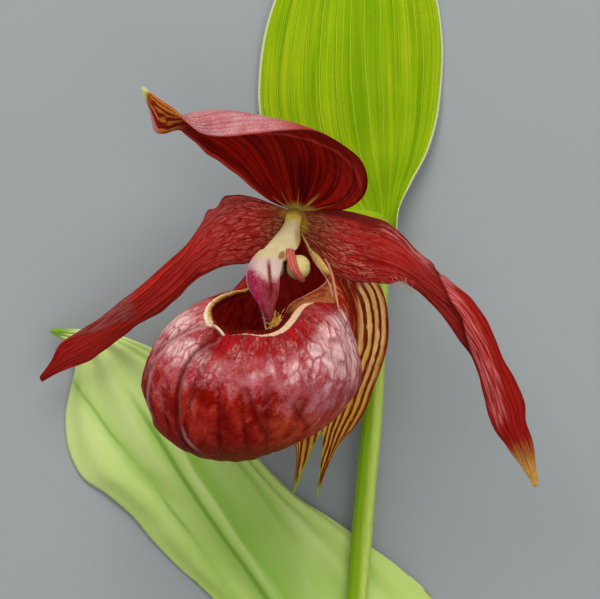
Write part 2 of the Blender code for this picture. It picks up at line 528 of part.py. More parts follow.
def build_lip(look, columns=56, rows=16, flap_steps=3):
    """The pouch: a shell closed at its lowest point, open at the mouth, with its rim rolled in."""
    rim = np.asarray(LIP_RIM, float)
    keys = even_keys(rim[:, :3], columns, closed=True)
    crest = spline(rim[:, :3], keys, closed=True)
    inner = spline(rim[:, 3:], keys, closed=True)
    body = lip_body(crest, rows)
    flap = lip_flap(crest, inner, unit(body[0] - body[1]), flap_steps)
    grid = np.concatenate([flap, body[:-1]])
    pole = body[-1].mean(0)
    count = grid.shape[0]
    faces = triangles(count, columns, closed=True)
    here = (count - 1) * columns + np.arange(columns)
    following = (count - 1) * columns + (np.arange(columns) + 1) % columns
    cap = np.stack([here, following, np.full(columns, count * columns)], -1)
    points = np.vstack([grid.reshape(-1, 3), pole])
    made = solid("lip", points, np.vstack([faces, cap])[:, ::-1], look)
    thicken(made, LIP_THICKNESS, -1.0)
    return made


def ball(name, centre, radius, look):
    """A round anther, a little flattened."""
    turn = np.arange(14) * 2 * math.pi / 14
    fall = np.linspace(0, math.pi, 10)[1:-1]
    ring = np.stack([
        np.sin(fall)[:, None] * np.cos(turn)[None],
        np.sin(fall)[:, None] * np.sin(turn)[None],
        np.repeat(np.cos(fall)[:, None], 14, 1),
    ], -1)
    body = ring.reshape(-1, 3)
    faces = triangles(8, 14, closed=True)
    here = np.arange(14)
    following = (here + 1) % 14
    top = np.stack([np.full(14, 112), following, here], -1)
    low = np.stack([np.full(14, 113), 98 + here, 98 + following], -1)
    points = np.vstack([body, [0, 0, 1], [0, 0, -1]]) * radius * np.array([1.0, 1.05, 0.95])
    return solid(name, points + np.array(centre), np.vstack([faces, top, low])[:, ::-1], look)


def helper(made):
    """Marks a piece that only shapes another one."""
    made.hide_render = True
    made.display_type = "WIRE"
    return made


def join_or_cut(made, other, operation):
    """Live Boolean with another object."""
    step = made.modifiers.new(operation.lower(), "BOOLEAN")
    step.operation = operation
    step.solver = "EXACT"
    step.object = helper(other)


def mirrored(points):
    """Points on the other side of the flower's plane of symmetry."""
    normal = unit(np.array(SYMMETRY_NORMAL))
    off = (points - np.array(SYMMETRY_POINT)) @ normal
    return points - 2 * off[..., None] * normal


def build_stamen(name, centre, strap, look):
    """An anther with its filament, grown as one."""
    made = ball(name, centre, ANTHER_RADIUS, look)
    join_or_cut(made, sheet(name + "_strap", strap, FILAMENT_THICKNESS, None), "UNION")
    return made


def build_stem(look):
    """The stem; its cut end has a small flat on the underside, where it rests."""
    made = tube("stem", STEM_PATH, 34, 16, look)
    end = STEM_PATH[0]
    x, y, low = end[0], end[1] + CUT_FLAT_LENGTH / 2, -1.5
    size = np.array([4.0, CUT_FLAT_LENGTH + 8.0, 1.5])
    corners = np.array([(i, j, k) for k in (-1, 1) for j in (-1, 1) for i in (-1, 1)], float)
    faces = ((0, 2, 3, 1), (4, 5, 7, 6), (0, 1, 5, 4), (2, 6, 7, 3), (0, 4, 6, 2), (1, 3, 7, 5))
    block = solid("stem_flat", corners * size + np.array([x, y, low]), faces, None)
    join_or_cut(made, block, "DIFFERENCE")


def build_green(looks):
    """Stem, ovary and the two leaves."""
    build_stem(looks["stem"])
    tube("ovary", OVARY_PATH, 18, 16, looks["ovary"])
    leaf = pleated(blade_grid(LEAF_ROWS, 36, 8), LEAF_PLEAT_DEPTH, LEAF_PLEATS)
    sheet("leaf", leaf, LEAF_THICKNESS, looks["leaf"])
    bract = pleated(blade_grid(BRACT_ROWS, 26, 6), BRACT_PLEAT_DEPTH, BRACT_PLEATS)
    sheet("floral_bract", bract, LEAF_THICKNESS, looks["bract"])


def build_tepals(looks):
    """Dorsal sepal, the two petals and the two lower sepals grown as one."""
    sheet("dorsal_sepal", soft_grid(DORSAL_ROWS, 32, 6), SEPAL_THICKNESS, looks["dorsal"])
    sheet("petal_left", soft_grid(PETAL_LEFT_ROWS, 32, 4), PETAL_THICKNESS, looks["petal"])
    sheet("petal_right", soft_grid(PETAL_RIGHT_ROWS, 34, 4), PETAL_THICKNESS, looks["petal"])
    rows = np.asarray(SYNSEPAL_ROWS, float)
    row = spline(rows, np.linspace(0, 1, 29)).reshape(29, 5, 3)
    grid = across(row, np.linspace(0, 1, 13))
    sheet("synsepal", grid[:, ::-1], SEPAL_THICKNESS, looks["synsepal"])


def build_heart(looks):
    """Column, stigma, staminode and the two stamens."""
    tube("column", COLUMN_PATH, 12, 16, looks["column"])
    tube("stigma", STIGMA_PATH, 8, 10, looks["column"])
    sheet("staminode", soft_grid(STAMINODE_ROWS, 14, 5), STAMINODE_THICKNESS, looks["staminode"])
    strap = soft_grid(FILAMENT_ROWS, 10, 2)
    build_stamen("stamen_right", ANTHER_RIGHT, strap, looks["anther"])
    lean = np.array(LEFT_STAMEN_LEAN)
    centre = mirrored(np.array(ANTHER_RIGHT)) + lean
    build_stamen("stamen_left", centre, mirrored(strap)[:, ::-1] + lean, looks["anther"])


def make_looks():
    """One material for each kind of piece."""
    return {
        "stem": material("green stem", (0.22, 0.42, 0.06), 0.5),
        "ovary": material("green ovary", (0.26, 0.40, 0.08), 0.55),
        "leaf": material("pale green leaf", (0.30, 0.55, 0.14), 0.5),
        "bract": material("bright green bract", (0.36, 0.56, 0.03), 0.5),
        "dorsal": material("dark red sepal", (0.30, 0.02, 0.02), 0.55),
        "petal": material("red petal", (0.38, 0.03, 0.02), 0.55),
        "synsepal": material("striped yellow sepal", (0.62, 0.36, 0.10), 0.55),
        "lip": material("red lip", (0.42, 0.05, 0.05), 0.4),
        "column": material("cream column", (0.75, 0.68, 0.42), 0.45),
        "staminode": material("magenta staminode", (0.52, 0.12, 0.28), 0.4),
        "anther": material("yellow anther", (0.78, 0.62, 0.18), 0.5),
    }


def main():
    """Clears the scene and builds every piece."""
    for old in list(bpy.data.objects):
        bpy.data.objects.remove(old, do_unlink=True)
    looks = make_looks()
    build_green(looks)
    build_tepals(looks)
    build_heart(looks)
    build_lip(looks["lip"])


main()
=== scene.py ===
"""Slipper orchid: the looks of one picked stem in flower, lying on its back.

Shapes are worked out in millimetres, in the frame of the packed model. A blade is a grid of
points: rows run from its base to its tip, columns from one margin to the other.
"""
import math

import bmesh
import bpy
import numpy as np
from bpy.props import FloatProperty, FloatVectorProperty, PointerProperty
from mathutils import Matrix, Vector


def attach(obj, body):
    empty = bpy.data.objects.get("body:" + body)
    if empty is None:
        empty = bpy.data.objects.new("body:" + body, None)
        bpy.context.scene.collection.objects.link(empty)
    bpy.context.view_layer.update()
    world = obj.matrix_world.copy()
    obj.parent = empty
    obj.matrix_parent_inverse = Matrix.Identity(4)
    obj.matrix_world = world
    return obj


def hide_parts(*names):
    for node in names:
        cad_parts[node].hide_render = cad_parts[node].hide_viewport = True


bl_info = {
    "name": "Slipper orchid",
    "version": (1, 0, 0),
    "blender": (4, 5, 0),
    "location": "View3D > Sidebar > Orchid",
    "description": "Builds a picked slipper orchid in flower around its packed solids",
    "category": "Add Mesh",
}

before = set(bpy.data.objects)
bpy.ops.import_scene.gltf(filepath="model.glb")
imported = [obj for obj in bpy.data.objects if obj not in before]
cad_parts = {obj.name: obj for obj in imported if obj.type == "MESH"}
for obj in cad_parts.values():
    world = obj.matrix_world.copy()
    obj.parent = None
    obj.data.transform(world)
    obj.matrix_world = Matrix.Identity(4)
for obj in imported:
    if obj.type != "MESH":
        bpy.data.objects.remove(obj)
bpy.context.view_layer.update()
MM = 0.001
TURN = 2 * math.pi

# Where the camera stands, in mm; it looks straight down
CAMERA = (2.91, 14.89, 735.0)
# Where the heart of the flower is, in mm
HEART = (2.1, 31.6, 26.0)
# A point far above the flower, in mm: the faces that look at it are the upper ones
ABOVE = (0, 0, 500)
# A point between the dorsal sepal and the pouch, in mm, that the sepal's inner face looks at
LIP_MIDDLE = (2.0, 10.0, 30.0)
# No painted glow: black, for a wall that no light passes
NO_LIGHT = (0.0, 0.0, 0.0)

# Pleats of the two leaves: height in mm, and pleats over the whole width
LEAF_PLEATS = (0.45, 5)
BRACT_PLEATS = (0.25, 6)

# Low domes that close a stalk's ends: share of the end's size, and height as a share of its radius
CAP_RINGS = ((0.93, 0.05), (0.62, 0.08), (0.3, 0.09), (0.0, 0.09))

# Stem axis from the cut end to the node under the flower: x, y, z, radius.
STEM_PATH = (
    (9.8, -107.1, 2.0, 2.15),
    (10.2, -101.2, 2.0, 2.15),
    (10.8, -96.1, 2.6, 2.15),
    (11.5, -90.2, 4.3, 2.15),
    (12.1, -84.2, 5.4, 2.15),
    (13.0, -71.6, 6.6, 2.15),
    (13.7, -60.0, 7.6, 2.15),
    (14.7, -47.1, 8.3, 2.15),
    (16.5, -24.3, 8.2, 2.12),
    (17.9, -8.5, 7.8, 2.1),
    (19.1, 14.8, 7.3, 2.05),
    (19.5, 21.4, 7.2, 2.1),
    (19.8, 24.8, 7.3, 2.4),
    (19.7, 26.2, 7.8, 2.2),
)

# Ovary axis from the node to the receptacle: x, y, z, radius.
OVARY_PATH = (
    (19.7, 27.3, 9.0, 1.8),
    (19.6, 28.6, 11.0, 2.3),
    (18.8, 29.6, 14.0, 2.75),
    (16.7, 30.2, 16.8, 2.95),
    (13.7, 30.4, 19.2, 3),
    (10.7, 30.6, 21.2, 2.8),
    (7.8, 31.0, 23.0, 2.45),
    (4.9, 31.3, 24.8, 2.15),
    (2.9, 31.6, 26.3, 2.2),
    (1.9, 31.7, 27.6, 1.8),
)

# Stigma axis: x, y, z, radius.
STIGMA_PATH = (
    (0.3, 23.6, 34.0, 0.5),
    (0.4, 22.4, 33.3, 0.55),
    (0.3, 21.2, 33.0, 0.9),
    (0.1, 20.2, 33.0, 1.1),
)

# Rows of a blade: left margin, midrib and right margin as x, y, z in mm, then how far
# the left and the right half bow out, as the sagitta over half the chord.
# Leaf, from the sheath round the stem to the tip.
LEAF_ROWS = (
    (11.3, -87.5, 8.7, 11.9, -88.5, 1.5, 12.4, -87.5, 8.7, -0.95, -0.95),
    (11.5, -82.7, 9.3, 12.3, -83.7, 1.6, 13.0, -82.7, 9.3, -0.95, -0.95),
    (10.6, -78.1, 9.6, 12.6, -78.6, 1.9, 14.5, -78.1, 9.6, -0.85, -0.85),
    (6.2, -72.2, 8.5, 12.7, -72.5, 2.4, 20.4, -71.6, 8.0, -0.45, -0.45),
    (-0.6, -65.5, 5.0, 11.9, -66.0, 2.7, 28.0, -63.3, 4.0, -0.2, -0.25),
    (-7.5, -58.0, 3.0, 10.0, -58.7, 4.0, 32.3, -55.0, 1.2, 0.05, 0.05),
    (-12.6, -50.8, 1.6, 7.5, -51.6, 4.7, 30.6, -47.8, 0.5, 0.1, 0.1),
    (-17.4, -45.8, 0.9, 4.6, -44.4, 5.7, 23.9, -41.4, 1.8, 0.12, 0.1),
    (-22.9, -41.0, 0.7, 1.5, -37.6, 7.4, 16.3, -35.8, 3.2, 0.12, 0.1),
    (-27.9, -35.8, 0.9, -2.3, -31.5, 8.2, 9.2, -30.7, 4.2, 0.12, 0.1),
    (-32.5, -30.3, 1.2, -6.2, -25.5, 8.8, 2.7, -26.5, 5.4, 0.12, 0.1),
    (-38.0, -25.7, 1.0, -10.6, -19.6, 9.2, -2.9, -21.4, 6.2, 0.12, 0.1),
    (-42.8, -22.4, 0.6, -15.1, -13.8, 9.4, -7.1, -16.4, 7.0, 0.12, 0.1),
    (-45.7, -16.7, 0.4, -19.9, -8.0, 9.4, -10.8, -10.2, 7.0, 0.12, 0.1),
    (-46.4, -10.0, 0.6, -25.1, -2.6, 9.2, -15.4, -3.9, 7.0, 0.12, 0.1),
    (-45.3, -4.3, 1.6, -30.3, 2.1, 8.6, -22.0, 1.9, 7.0, 0.1, 0.1),
    (-44.1, 0.6, 3.0, -35.5, 5.6, 7.5, -30.4, 5.8, 6.6, 0.05, 0.05),
    (-44.7, 5.0, 4.0, -40.4, 7.7, 5.8, -37.5, 8.1, 6.0, 0, 0),
    (-49.1, 7.9, 4.0, -49.1, 8.4, 4.2, -49.0, 8.9, 4.0, 0, 0),
)

# Leafy bract, from the node to the tip.
BRACT_ROWS = (
    (16.4, 25.6, 7.6, 19.8, 25.6, 4.0, 23.1, 25.6, 7.6, -0.5, -0.5),
    (16.3, 28.1, 8.8, 19.8, 27.9, 3.6, 22.9, 28.5, 8.8, -0.48, -0.48),
    (13.7, 32.3, 7.0, 19.2, 30.9, 3.4, 23.5, 33.7, 6.8, -0.28, -0.28),
    (6.7, 36.5, 4.0, 18.2, 35.5, 4.0, 26.3, 39.6, 4.5, -0.1, -0.1),
    (-0.2, 42.4, 2.5, 16.5, 40.6, 5.2, 29.5, 45.7, 3.0, 0.05, 0.05),
    (-4.0, 48.3, 1.8, 15.0, 46.6, 6.2, 31.6, 52.5, 1.6, 0.08, 0.08),
    (-5.7, 55.0, 1.5, 13.9, 53.7, 7.2, 32.6, 59.7, 0.8, 0.1, 0.1),
    (-5.7, 61.9, 1.5, 13.3, 61.1, 7.8, 33.0, 66.8, 0.5, 0.1, 0.1),
    (-4.8, 69.2, 1.8, 13.3, 68.8, 8.0, 32.5, 73.5, 0.5, 0.1, 0.1),
    (-3.0, 75.9, 2.0, 13.5, 76.3, 7.6, 31.2, 79.8, 0.8, 0.1, 0.1),
    (0, 83.5, 2.0, 13.7, 83.5, 6.6, 28.3, 86.5, 1.5, 0.1, 0.1),
    (3.7, 90.6, 1.8, 13.8, 90.7, 5.2, 24.1, 92.7, 1.8, 0.08, 0.08),
    (7.7, 96.9, 1.4, 13.4, 97.3, 3.6, 19.5, 98.4, 1.6, 0.05, 0.05),
    (10.9, 102.0, 1.0, 13.0, 102.3, 1.8, 15.3, 102.9, 1.0, 0, 0),
    (11.8, 106.9, 0.6, 12.4, 107.1, 0.6, 12.9, 106.9, 0.6, 0, 0),
)

# Dorsal sepal: a hood that arches over the lip and twists at its tip.
DORSAL_ROWS = (
    (0.9, 33.1, 28.4, 2.1, 33.0, 29.2, 3.5, 32.8, 29.6, 0, 0),
    (-1.3, 34.0, 27.5, 1.7, 35.1, 30.5, 7.7, 32.7, 32.0, -0.12, -0.16),
    (-4.0, 35.4, 27.0, 1.1, 38.5, 33.0, 12.3, 33.0, 36.0, -0.15, -0.2),
    (-6.6, 37.4, 27.0, 0.5, 41.7, 36.0, 15.4, 35.2, 40.0, -0.16, -0.22),
    (-9.0, 39.4, 27.5, -0.3, 44.8, 39.0, 16.5, 38.5, 44.0, -0.18, -0.2),
    (-11.4, 41.2, 28.5, -1.6, 47.3, 42.0, 14.9, 42.3, 48.0, -0.2, -0.16),
    (-13.6, 42.9, 30.0, -3.8, 49.1, 44.5, 10.7, 45.4, 51.5, -0.2, -0.12),
    (-15.6, 44.3, 31.5, -6.5, 50.5, 46.8, 5.4, 47.6, 54.0, -0.2, -0.1),
    (-17.1, 45.6, 33.0, -9.6, 51.5, 48.5, -0.6, 47.7, 55.0, -0.18, -0.12),
    (-18.7, 46.8, 34.5, -13.0, 51.8, 49.5, -6.4, 47.1, 55.0, -0.18, -0.16),
    (-19.9, 47.7, 36.0, -15.7, 51.6, 50.0, -11.9, 46.6, 54.0, -0.18, -0.18),
    (-21.0, 48.5, 38.0, -18.0, 51.1, 50.0, -16.2, 47.3, 52.0, -0.15, -0.15),
    (-22.3, 48.3, 41.0, -20.4, 50.8, 50.0, -19.3, 49.9, 51.0, -0.12, -0.08),
    (-24.1, 47.7, 44.0, -22.5, 51.4, 49.5, -21.7, 52.2, 50.5, -0.12, 0),
    (-25.8, 48.1, 46.0, -24.5, 52.6, 49.0, -23.9, 53.6, 50.0, -0.25, 0),
    (-26.6, 51.7, 47.0, -26.1, 54.2, 48.5, -25.6, 54.8, 49.0, -0.1, 0),
    (-28.3, 56.3, 48.0, -28.1, 56.6, 48.0, -27.6, 56.6, 48.0, 0, 0),
)

# Left petal, drooping and half turned near its tip.
PETAL_LEFT_ROWS = (
    (1.5, 27.5, 28.6, 1.6, 30.2, 29.4, 1.7, 32.6, 29.2, 0, 0),
    (-2.0, 25.0, 27.6, -2.4, 30.0, 29.2, -2.6, 34.2, 28.8, 0.06, 0.06),
    (-5.5, 23.0, 26.6, -6.4, 29.6, 28.9, -7.0, 35.7, 28.6, 0.08, 0.08),
    (-8.2, 22.1, 26.0, -10.0, 28.9, 28.5, -10.8, 35.9, 28.0, 0.08, 0.08),
    (-12.1, 21.7, 25.0, -13.9, 27.1, 27.0, -14.9, 33.6, 26.5, 0.08, 0.08),
    (-16.0, 20.3, 23.0, -17.6, 24.7, 25.5, -17.0, 30.6, 25.5, 0.1, 0.1),
    (-19.3, 17.9, 21.5, -21.1, 21.3, 24.0, -20.3, 25.9, 25.0, 0.12, 0.12),
    (-23.0, 14.4, 20.0, -25.4, 17.4, 22.5, -24.7, 22.0, 24.0, 0.14, 0.14),
    (-27.8, 11.1, 18.5, -29.7, 13.8, 21.0, -29.4, 17.8, 22.5, 0.14, 0.14),
    (-32.4, 8.2, 17.0, -34.1, 10.7, 19.5, -33.9, 14.4, 20.5, 0.12, 0.12),
    (-37.2, 4.5, 15.0, -38.1, 7.6, 17.5, -38.4, 10.9, 18.5, 0.1, 0.1),
    (-41.0, 1.9, 13.0, -41.9, 5.1, 15.0, -42.7, 8.3, 16.0, 0.05, 0.05),
    (-44.6, 0.8, 11.5, -45.4, 3.1, 13.0, -46.6, 5.7, 13.5, -0.03, 0),
    (-47.5, -0.5, 11.0, -47.9, 0.9, 11.5, -48.6, 2.2, 11.5, 0, 0),
    (-50.5, -2.1, 10.0, -50.8, -1.6, 10.0, -50.9, -1.1, 10.0, 0, 0),
)

# Right petal, spreading and then hanging.
PETAL_RIGHT_ROWS = (
    (2.6, 32.7, 29.6, 2.6, 30.4, 29.8, 2.7, 27.4, 29.2, 0, 0),
    (8.5, 32.6, 30.8, 7.1, 28.7, 31.2, 5.4, 24.2, 29.8, 0.04, 0.04),
    (12.9, 32.1, 32.8, 11.3, 26.6, 33.9, 9.4, 20.0, 31.2, 0.06, 0.05),
    (16.9, 31.4, 35.0, 15.5, 25.2, 36.6, 13.9, 18.4, 34.2, 0.06, 0.05),
    (20.5, 30.2, 36.5, 19.0, 24.3, 38.8, 17.5, 18.2, 37.0, 0.06, 0.05),
    (23.8, 27.5, 37.5, 22.2, 22.9, 39.8, 20.6, 18.0, 38.5, 0.06, 0.05),
    (26.6, 24.3, 38.0, 25.0, 20.9, 40.0, 23.0, 18.5, 39.0, 0.06, 0.05),
    (30.0, 21.2, 38.5, 27.9, 18.6, 40.0, 25.5, 17.0, 39.0, 0.06, 0.05),
    (33.2, 18.3, 38.5, 30.9, 16.2, 40.0, 28.4, 14.6, 38.5, 0.06, 0.05),
    (36.6, 15.6, 38.0, 34.1, 13.4, 39.5, 31.4, 11.4, 38.0, 0.06, 0.06),
    (39.4, 12.0, 37.5, 36.9, 9.4, 39.0, 34.2, 7.5, 37.0, 0.06, 0.06),
    (41.6, 7.6, 37.0, 39.4, 5.4, 38.0, 36.9, 3.6, 36.0, 0.06, 0.06),
    (43.7, 2.8, 36.5, 41.4, 1.0, 37.0, 38.7, -0.6, 35.0, 0.06, 0.06),
    (46.0, -1.2, 35.5, 43.1, -3.2, 36.0, 39.7, -4.4, 34.0, 0.06, 0.06),
    (47.9, -5.8, 34.5, 44.7, -7.2, 35.0, 40.7, -8.3, 33.0, 0.05, 0.05),
    (48.2, -9.5, 33.5, 45.6, -10.8, 34.0, 42.0, -11.5, 32.5, 0.05, 0.05),
    (49.7, -13.5, 32.5, 47.4, -14.5, 33.0, 44.3, -14.5, 32.0, 0.03, 0.03),
    (50.3, -18.0, 31.5, 48.9, -18.2, 31.5, 46.9, -18.0, 31.0, 0, 0),
    (50.9, -22.6, 30.5, 50.4, -22.8, 30.5, 49.9, -22.5, 30.5, 0, 0),
)

# Staminode, the folded shield over the column.
STAMINODE_ROWS = (
    (-0.2, 24.3, 37.9, -2.9, 24.9, 38.5, -5.3, 24.5, 37.9, 0.1, 0.1),
    (-0.4, 22.8, 39.0, -3.1, 22.9, 39.7, -6.6, 23.0, 38.7, 0.12, 0.25),
    (-0.7, 21.0, 40.2, -3.1, 21.0, 40.6, -7.5, 21.2, 39.4, 0.2, 0.3),
    (-1.1, 19.4, 41.2, -3.0, 19.3, 41.4, -7.8, 19.3, 40.0, 0.2, 0.32),
    (-1.2, 17.8, 42.2, -2.9, 17.4, 42.4, -7.5, 17.5, 40.8, 0.2, 0.32),
    (-1.4, 16.0, 43.2, -2.9, 15.4, 43.4, -6.5, 15.8, 42.0, 0.15, 0.28),
    (-1.7, 14.2, 44.2, -3.0, 13.4, 44.4, -5.3, 13.8, 43.4, 0.1, 0.2),
    (-2.1, 12.4, 44.8, -3.1, 11.8, 45.0, -4.1, 11.9, 44.6, 0.05, 0.1),
    (-2.6, 10.8, 45.2, -3.1, 10.5, 45.2, -3.6, 10.8, 45.2, 0, 0),
)

# Right filament, the strap over the anther.
FILAMENT_ROWS = (
    (1.8, 24.6, 37.8, 0.9, 24.8, 38.3, 0.1, 24.9, 37.9, 0.1, 0.1),
    (1.95, 23.6, 39.0, 1.05, 23.7, 39.5, 0.15, 23.7, 39.2, 0.1, 0.1),
    (2.2, 22.6, 39.6, 1.3, 22.4, 40.1, 0.4, 22.2, 39.8, 0.1, 0.1),
    (2.7, 20.9, 39.6, 1.9, 20.7, 40.2, 1.0, 20.5, 39.9, 0.1, 0.1),
    (3.5, 19.6, 38.8, 2.9, 19.3, 39.3, 2.3, 19.0, 39.0, 0.1, 0.1),
    (3.8, 18.8, 38.0, 3.6, 18.6, 38.2, 3.3, 18.4, 38.0, 0.1, 0.1),
)

# Synsepal, five points a row from one margin to the other; it ends in two tips.
SYNSEPAL_ROWS = (
    (4.7, 28.2, 24.0, 3.9, 28.2, 23.6, 3.0, 28.2, 23.4, 2.2, 28.3, 23.5, 1.4, 28.5, 23.9),
    (8.6, 26.0, 21.3, 6.8, 25.4, 20.2, 4.5, 25.0, 19.7, 2.3, 25.4, 20.0, 0.1, 26.2, 20.8),
    (13.3, 23.0, 19.6, 10.5, 22.2, 17.8, 7.0, 21.8, 17.0, 2.9, 22.4, 17.5, -1.4, 23.6, 19.0),
    (17.6, 19.9, 19.0, 13.6, 18.5, 16.8, 8.7, 17.7, 15.5, 2.9, 18.1, 16.2, -3.2, 19.5, 18.0),
    (20.1, 15.8, 18.5, 15.7, 14.6, 15.8, 9.7, 13.5, 14.6, 2.9, 13.8, 15.3, -4.5, 14.6, 17.2),
    (21.0, 10.7, 18.0, 16.3, 9.8, 15.0, 10.1, 9.0, 14.2, 3.1, 9.0, 14.6, -4.9, 9.4, 16.5),
    (20.8, 5.6, 17.7, 16.1, 4.9, 14.8, 10.1, 4.5, 14.0, 3.3, 4.3, 14.4, -4.5, 4.3, 16.2),
    (19.5, 0.8, 17.4, 14.8, 0.2, 14.8, 9.6, 0.2, 14.2, 3.5, -0.5, 14.4, -3.3, -0.4, 16.0),
    (17.9, -3.5, 17.0, 13.4, -4.1, 15.0, 9.0, -3.7, 14.6, 3.6, -5.0, 14.6, -1.6, -4.9, 16.0),
    (16.3, -7.8, 16.6, 11.8, -8.5, 15.0, 8.5, -7.0, 15.0, 3.6, -9.1, 14.8, -0.2, -9.1, 15.8),
    (14.0, -11.5, 16.2, 10.1, -12.8, 15.2, 8.1, -9.4, 15.3, 3.5, -13.0, 14.8, 1.1, -13.0, 15.6),
    (10.9, -14.8, 15.8, 8.7, -17.3, 15.2, 7.7, -11.1, 15.5, 3.0, -17.1, 14.8, 2.2, -16.5, 15.2),
    (8.7, -19.1, 15.3, 7.2, -21.6, 15.0, 7.5, -12.1, 15.5, 2.4, -21.0, 14.8, 2.2, -20.4, 15.0),
    (6.8, -24.5, 15.0, 6.4, -24.9, 15.0, 7.4, -12.6, 15.5, 2.0, -24.3, 15.0, 1.7, -24.0, 15.0),
)

# Column, from the heart to where the staminode grows out of it: left edge and right edge as
# x, y, z in mm, then its depth there
COLUMN_FLARE = (
    (0.1, 32.7, 29.6, 3.5, 32.5, 29.4, 0.9),
    (0.0, 31.5, 30.8, 3.3, 31.3, 30.6, 1.2),
    (-0.3, 30.1, 32.6, 2.9, 29.7, 32.4, 1.4),
    (-1.2, 28.6, 34.4, 2.9, 28.1, 34.0, 1.5),
    (-2.6, 26.9, 36.2, 3.0, 26.6, 35.6, 1.45),
    (-4.1, 25.2, 37.6, 2.5, 25.3, 37.0, 1.1),
    (-5.5, 24.0, 38.2, 1.1, 23.8, 38.0, 0.7),
    (-5.7, 23.0, 38.3, -0.3, 22.4, 38.4, 0.35),
)

# Lip rim, right round: a point of its crest and the point of the inner margin beside it.
LIP_RIM = (
    (-10.2, 8.1, 58.0, -9.9, 8.9, 52.2),
    (-12.5, 9.0, 57.0, -11.8, 9.7, 51.2),
    (-14.5, 10.3, 55.0, -13.7, 11.0, 49.7),
    (-15.4, 12.3, 52.0, -14.5, 12.3, 47.0),
    (-14.8, 14.1, 48.5, -14.1, 13.7, 44.5),
    (-13.0, 15.6, 45.0, -12.4, 14.9, 41.5),
    (-10.3, 16.6, 41.5, -9.8, 15.8, 39.0),
    (-7.7, 17.1, 38.3, -7.2, 16.4, 36.8),
    (-6.8, 19.8, 35.0, -6.2, 19.1, 34.4),
    (-5.8, 22.2, 32.3, -5.4, 21.9, 32.1),
    (-4.2, 24.4, 30.9, -3.9, 24.2, 30.7),
    (-2.0, 26.7, 30.2, -1.8, 26.5, 30.0),
    (0, 28.5, 29.4, 0.1, 28.3, 29.3),
    (1.2, 29.2, 29.0, 1.2, 29.0, 28.9),
    (2.5, 29.1, 29.0, 2.4, 28.9, 28.9),
    (3.9, 27.3, 30.7, 3.6, 26.8, 30.5),
    (5.1, 25.1, 33.4, 4.6, 24.5, 33.2),
    (6.9, 23.4, 36.6, 5.7, 22.4, 36.3),
    (8.6, 21.0, 39.8, 7.1, 20.4, 39.2),
    (9.7, 18.4, 42.5, 8.1, 18.7, 41.6),
    (10.4, 15.8, 45.0, 6.7, 17.3, 43.2),
    (9.8, 14.3, 47.5, 5.1, 16.4, 44.5),
    (7.9, 14.3, 50.0, 3.5, 15.5, 45.5),
    (5.6, 14.3, 52.5, 1.9, 14.7, 46.5),
    (3.6, 13.6, 54.5, 0.7, 13.7, 47.5),
    (2.2, 12.1, 56.0, 0, 12.4, 48.5),
    (0.9, 10.3, 57.0, -0.6, 11.0, 49.7),
    (-1.2, 8.6, 58.0, -1.8, 9.6, 51.5),
    (-4.2, 7.9, 59.0, -4.2, 8.9, 52.3),
    (-7.3, 8.2, 59.0, -7.1, 9.0, 52.4),
)

LIP_CENTRE = (-7.0, -1.1, 39.0)
# Half width of the lip seen from above, every 15 degrees from +X, in mm
LIP_OUTLINE = (22.0, 22.3, 22.3, 20.8, 19.3, 18.5, 18.3, 18.5, 18.8, 19.4, 20.3, 21.4,
               22.3, 21.7, 21.1, 20.0, 18.0, 16.8, 16.0, 15.3, 15.3, 16.3, 17.8, 19.9)
# How deep the lip is above and below its centre, in mm
LIP_FRONT_DEPTH = 19.0
LIP_BACK_DEPTH = 16.5
# Power of the lip's superellipsoid: 2 would be a plain ellipsoid
LIP_POWER = 2.15
# The way from the lip's centre to its mouth
LIP_AXIS = (0.08, 0.70, 0.71)
# How far the mouth's rim swells over its crest, in mm
LIP_CREST_LIFT = 1.5
# Places on the rim: share of the way round, how wide as a share, and how far they move in mm
LIP_NOTCH = (0.036, 0.010, (0.3, -0.9, -0.5))
LIP_TUCK = (0.17, 0.07, (0.7, -0.5, 0.3))
# Long veins of the lip, and how far they drift round on their way down, as a share
LIP_VEINS = 26
LIP_VEIN_DRIFT = 0.05
# Tuft of hairs inside the pouch: where it stands, in mm
TUFT_PLACE = (-1.9, 10.4, 42.2)

# Right anther: its radius and its middle, in mm
ANTHER_RADIUS = 2.436
ANTHER_RIGHT = (2.6, 21.3, 36.8)
# The flower's plane of symmetry: a point of it and the direction square to it
SYMMETRY_POINT = (-1.1, 24.8, 36.5)
SYMMETRY_NORMAL = (0.86, 0.0, 0.5)
# How far the left stamen leans in from its mirrored place, in mm
LEFT_STAMEN_LEAN = (0.6, 0.0, 0.9)
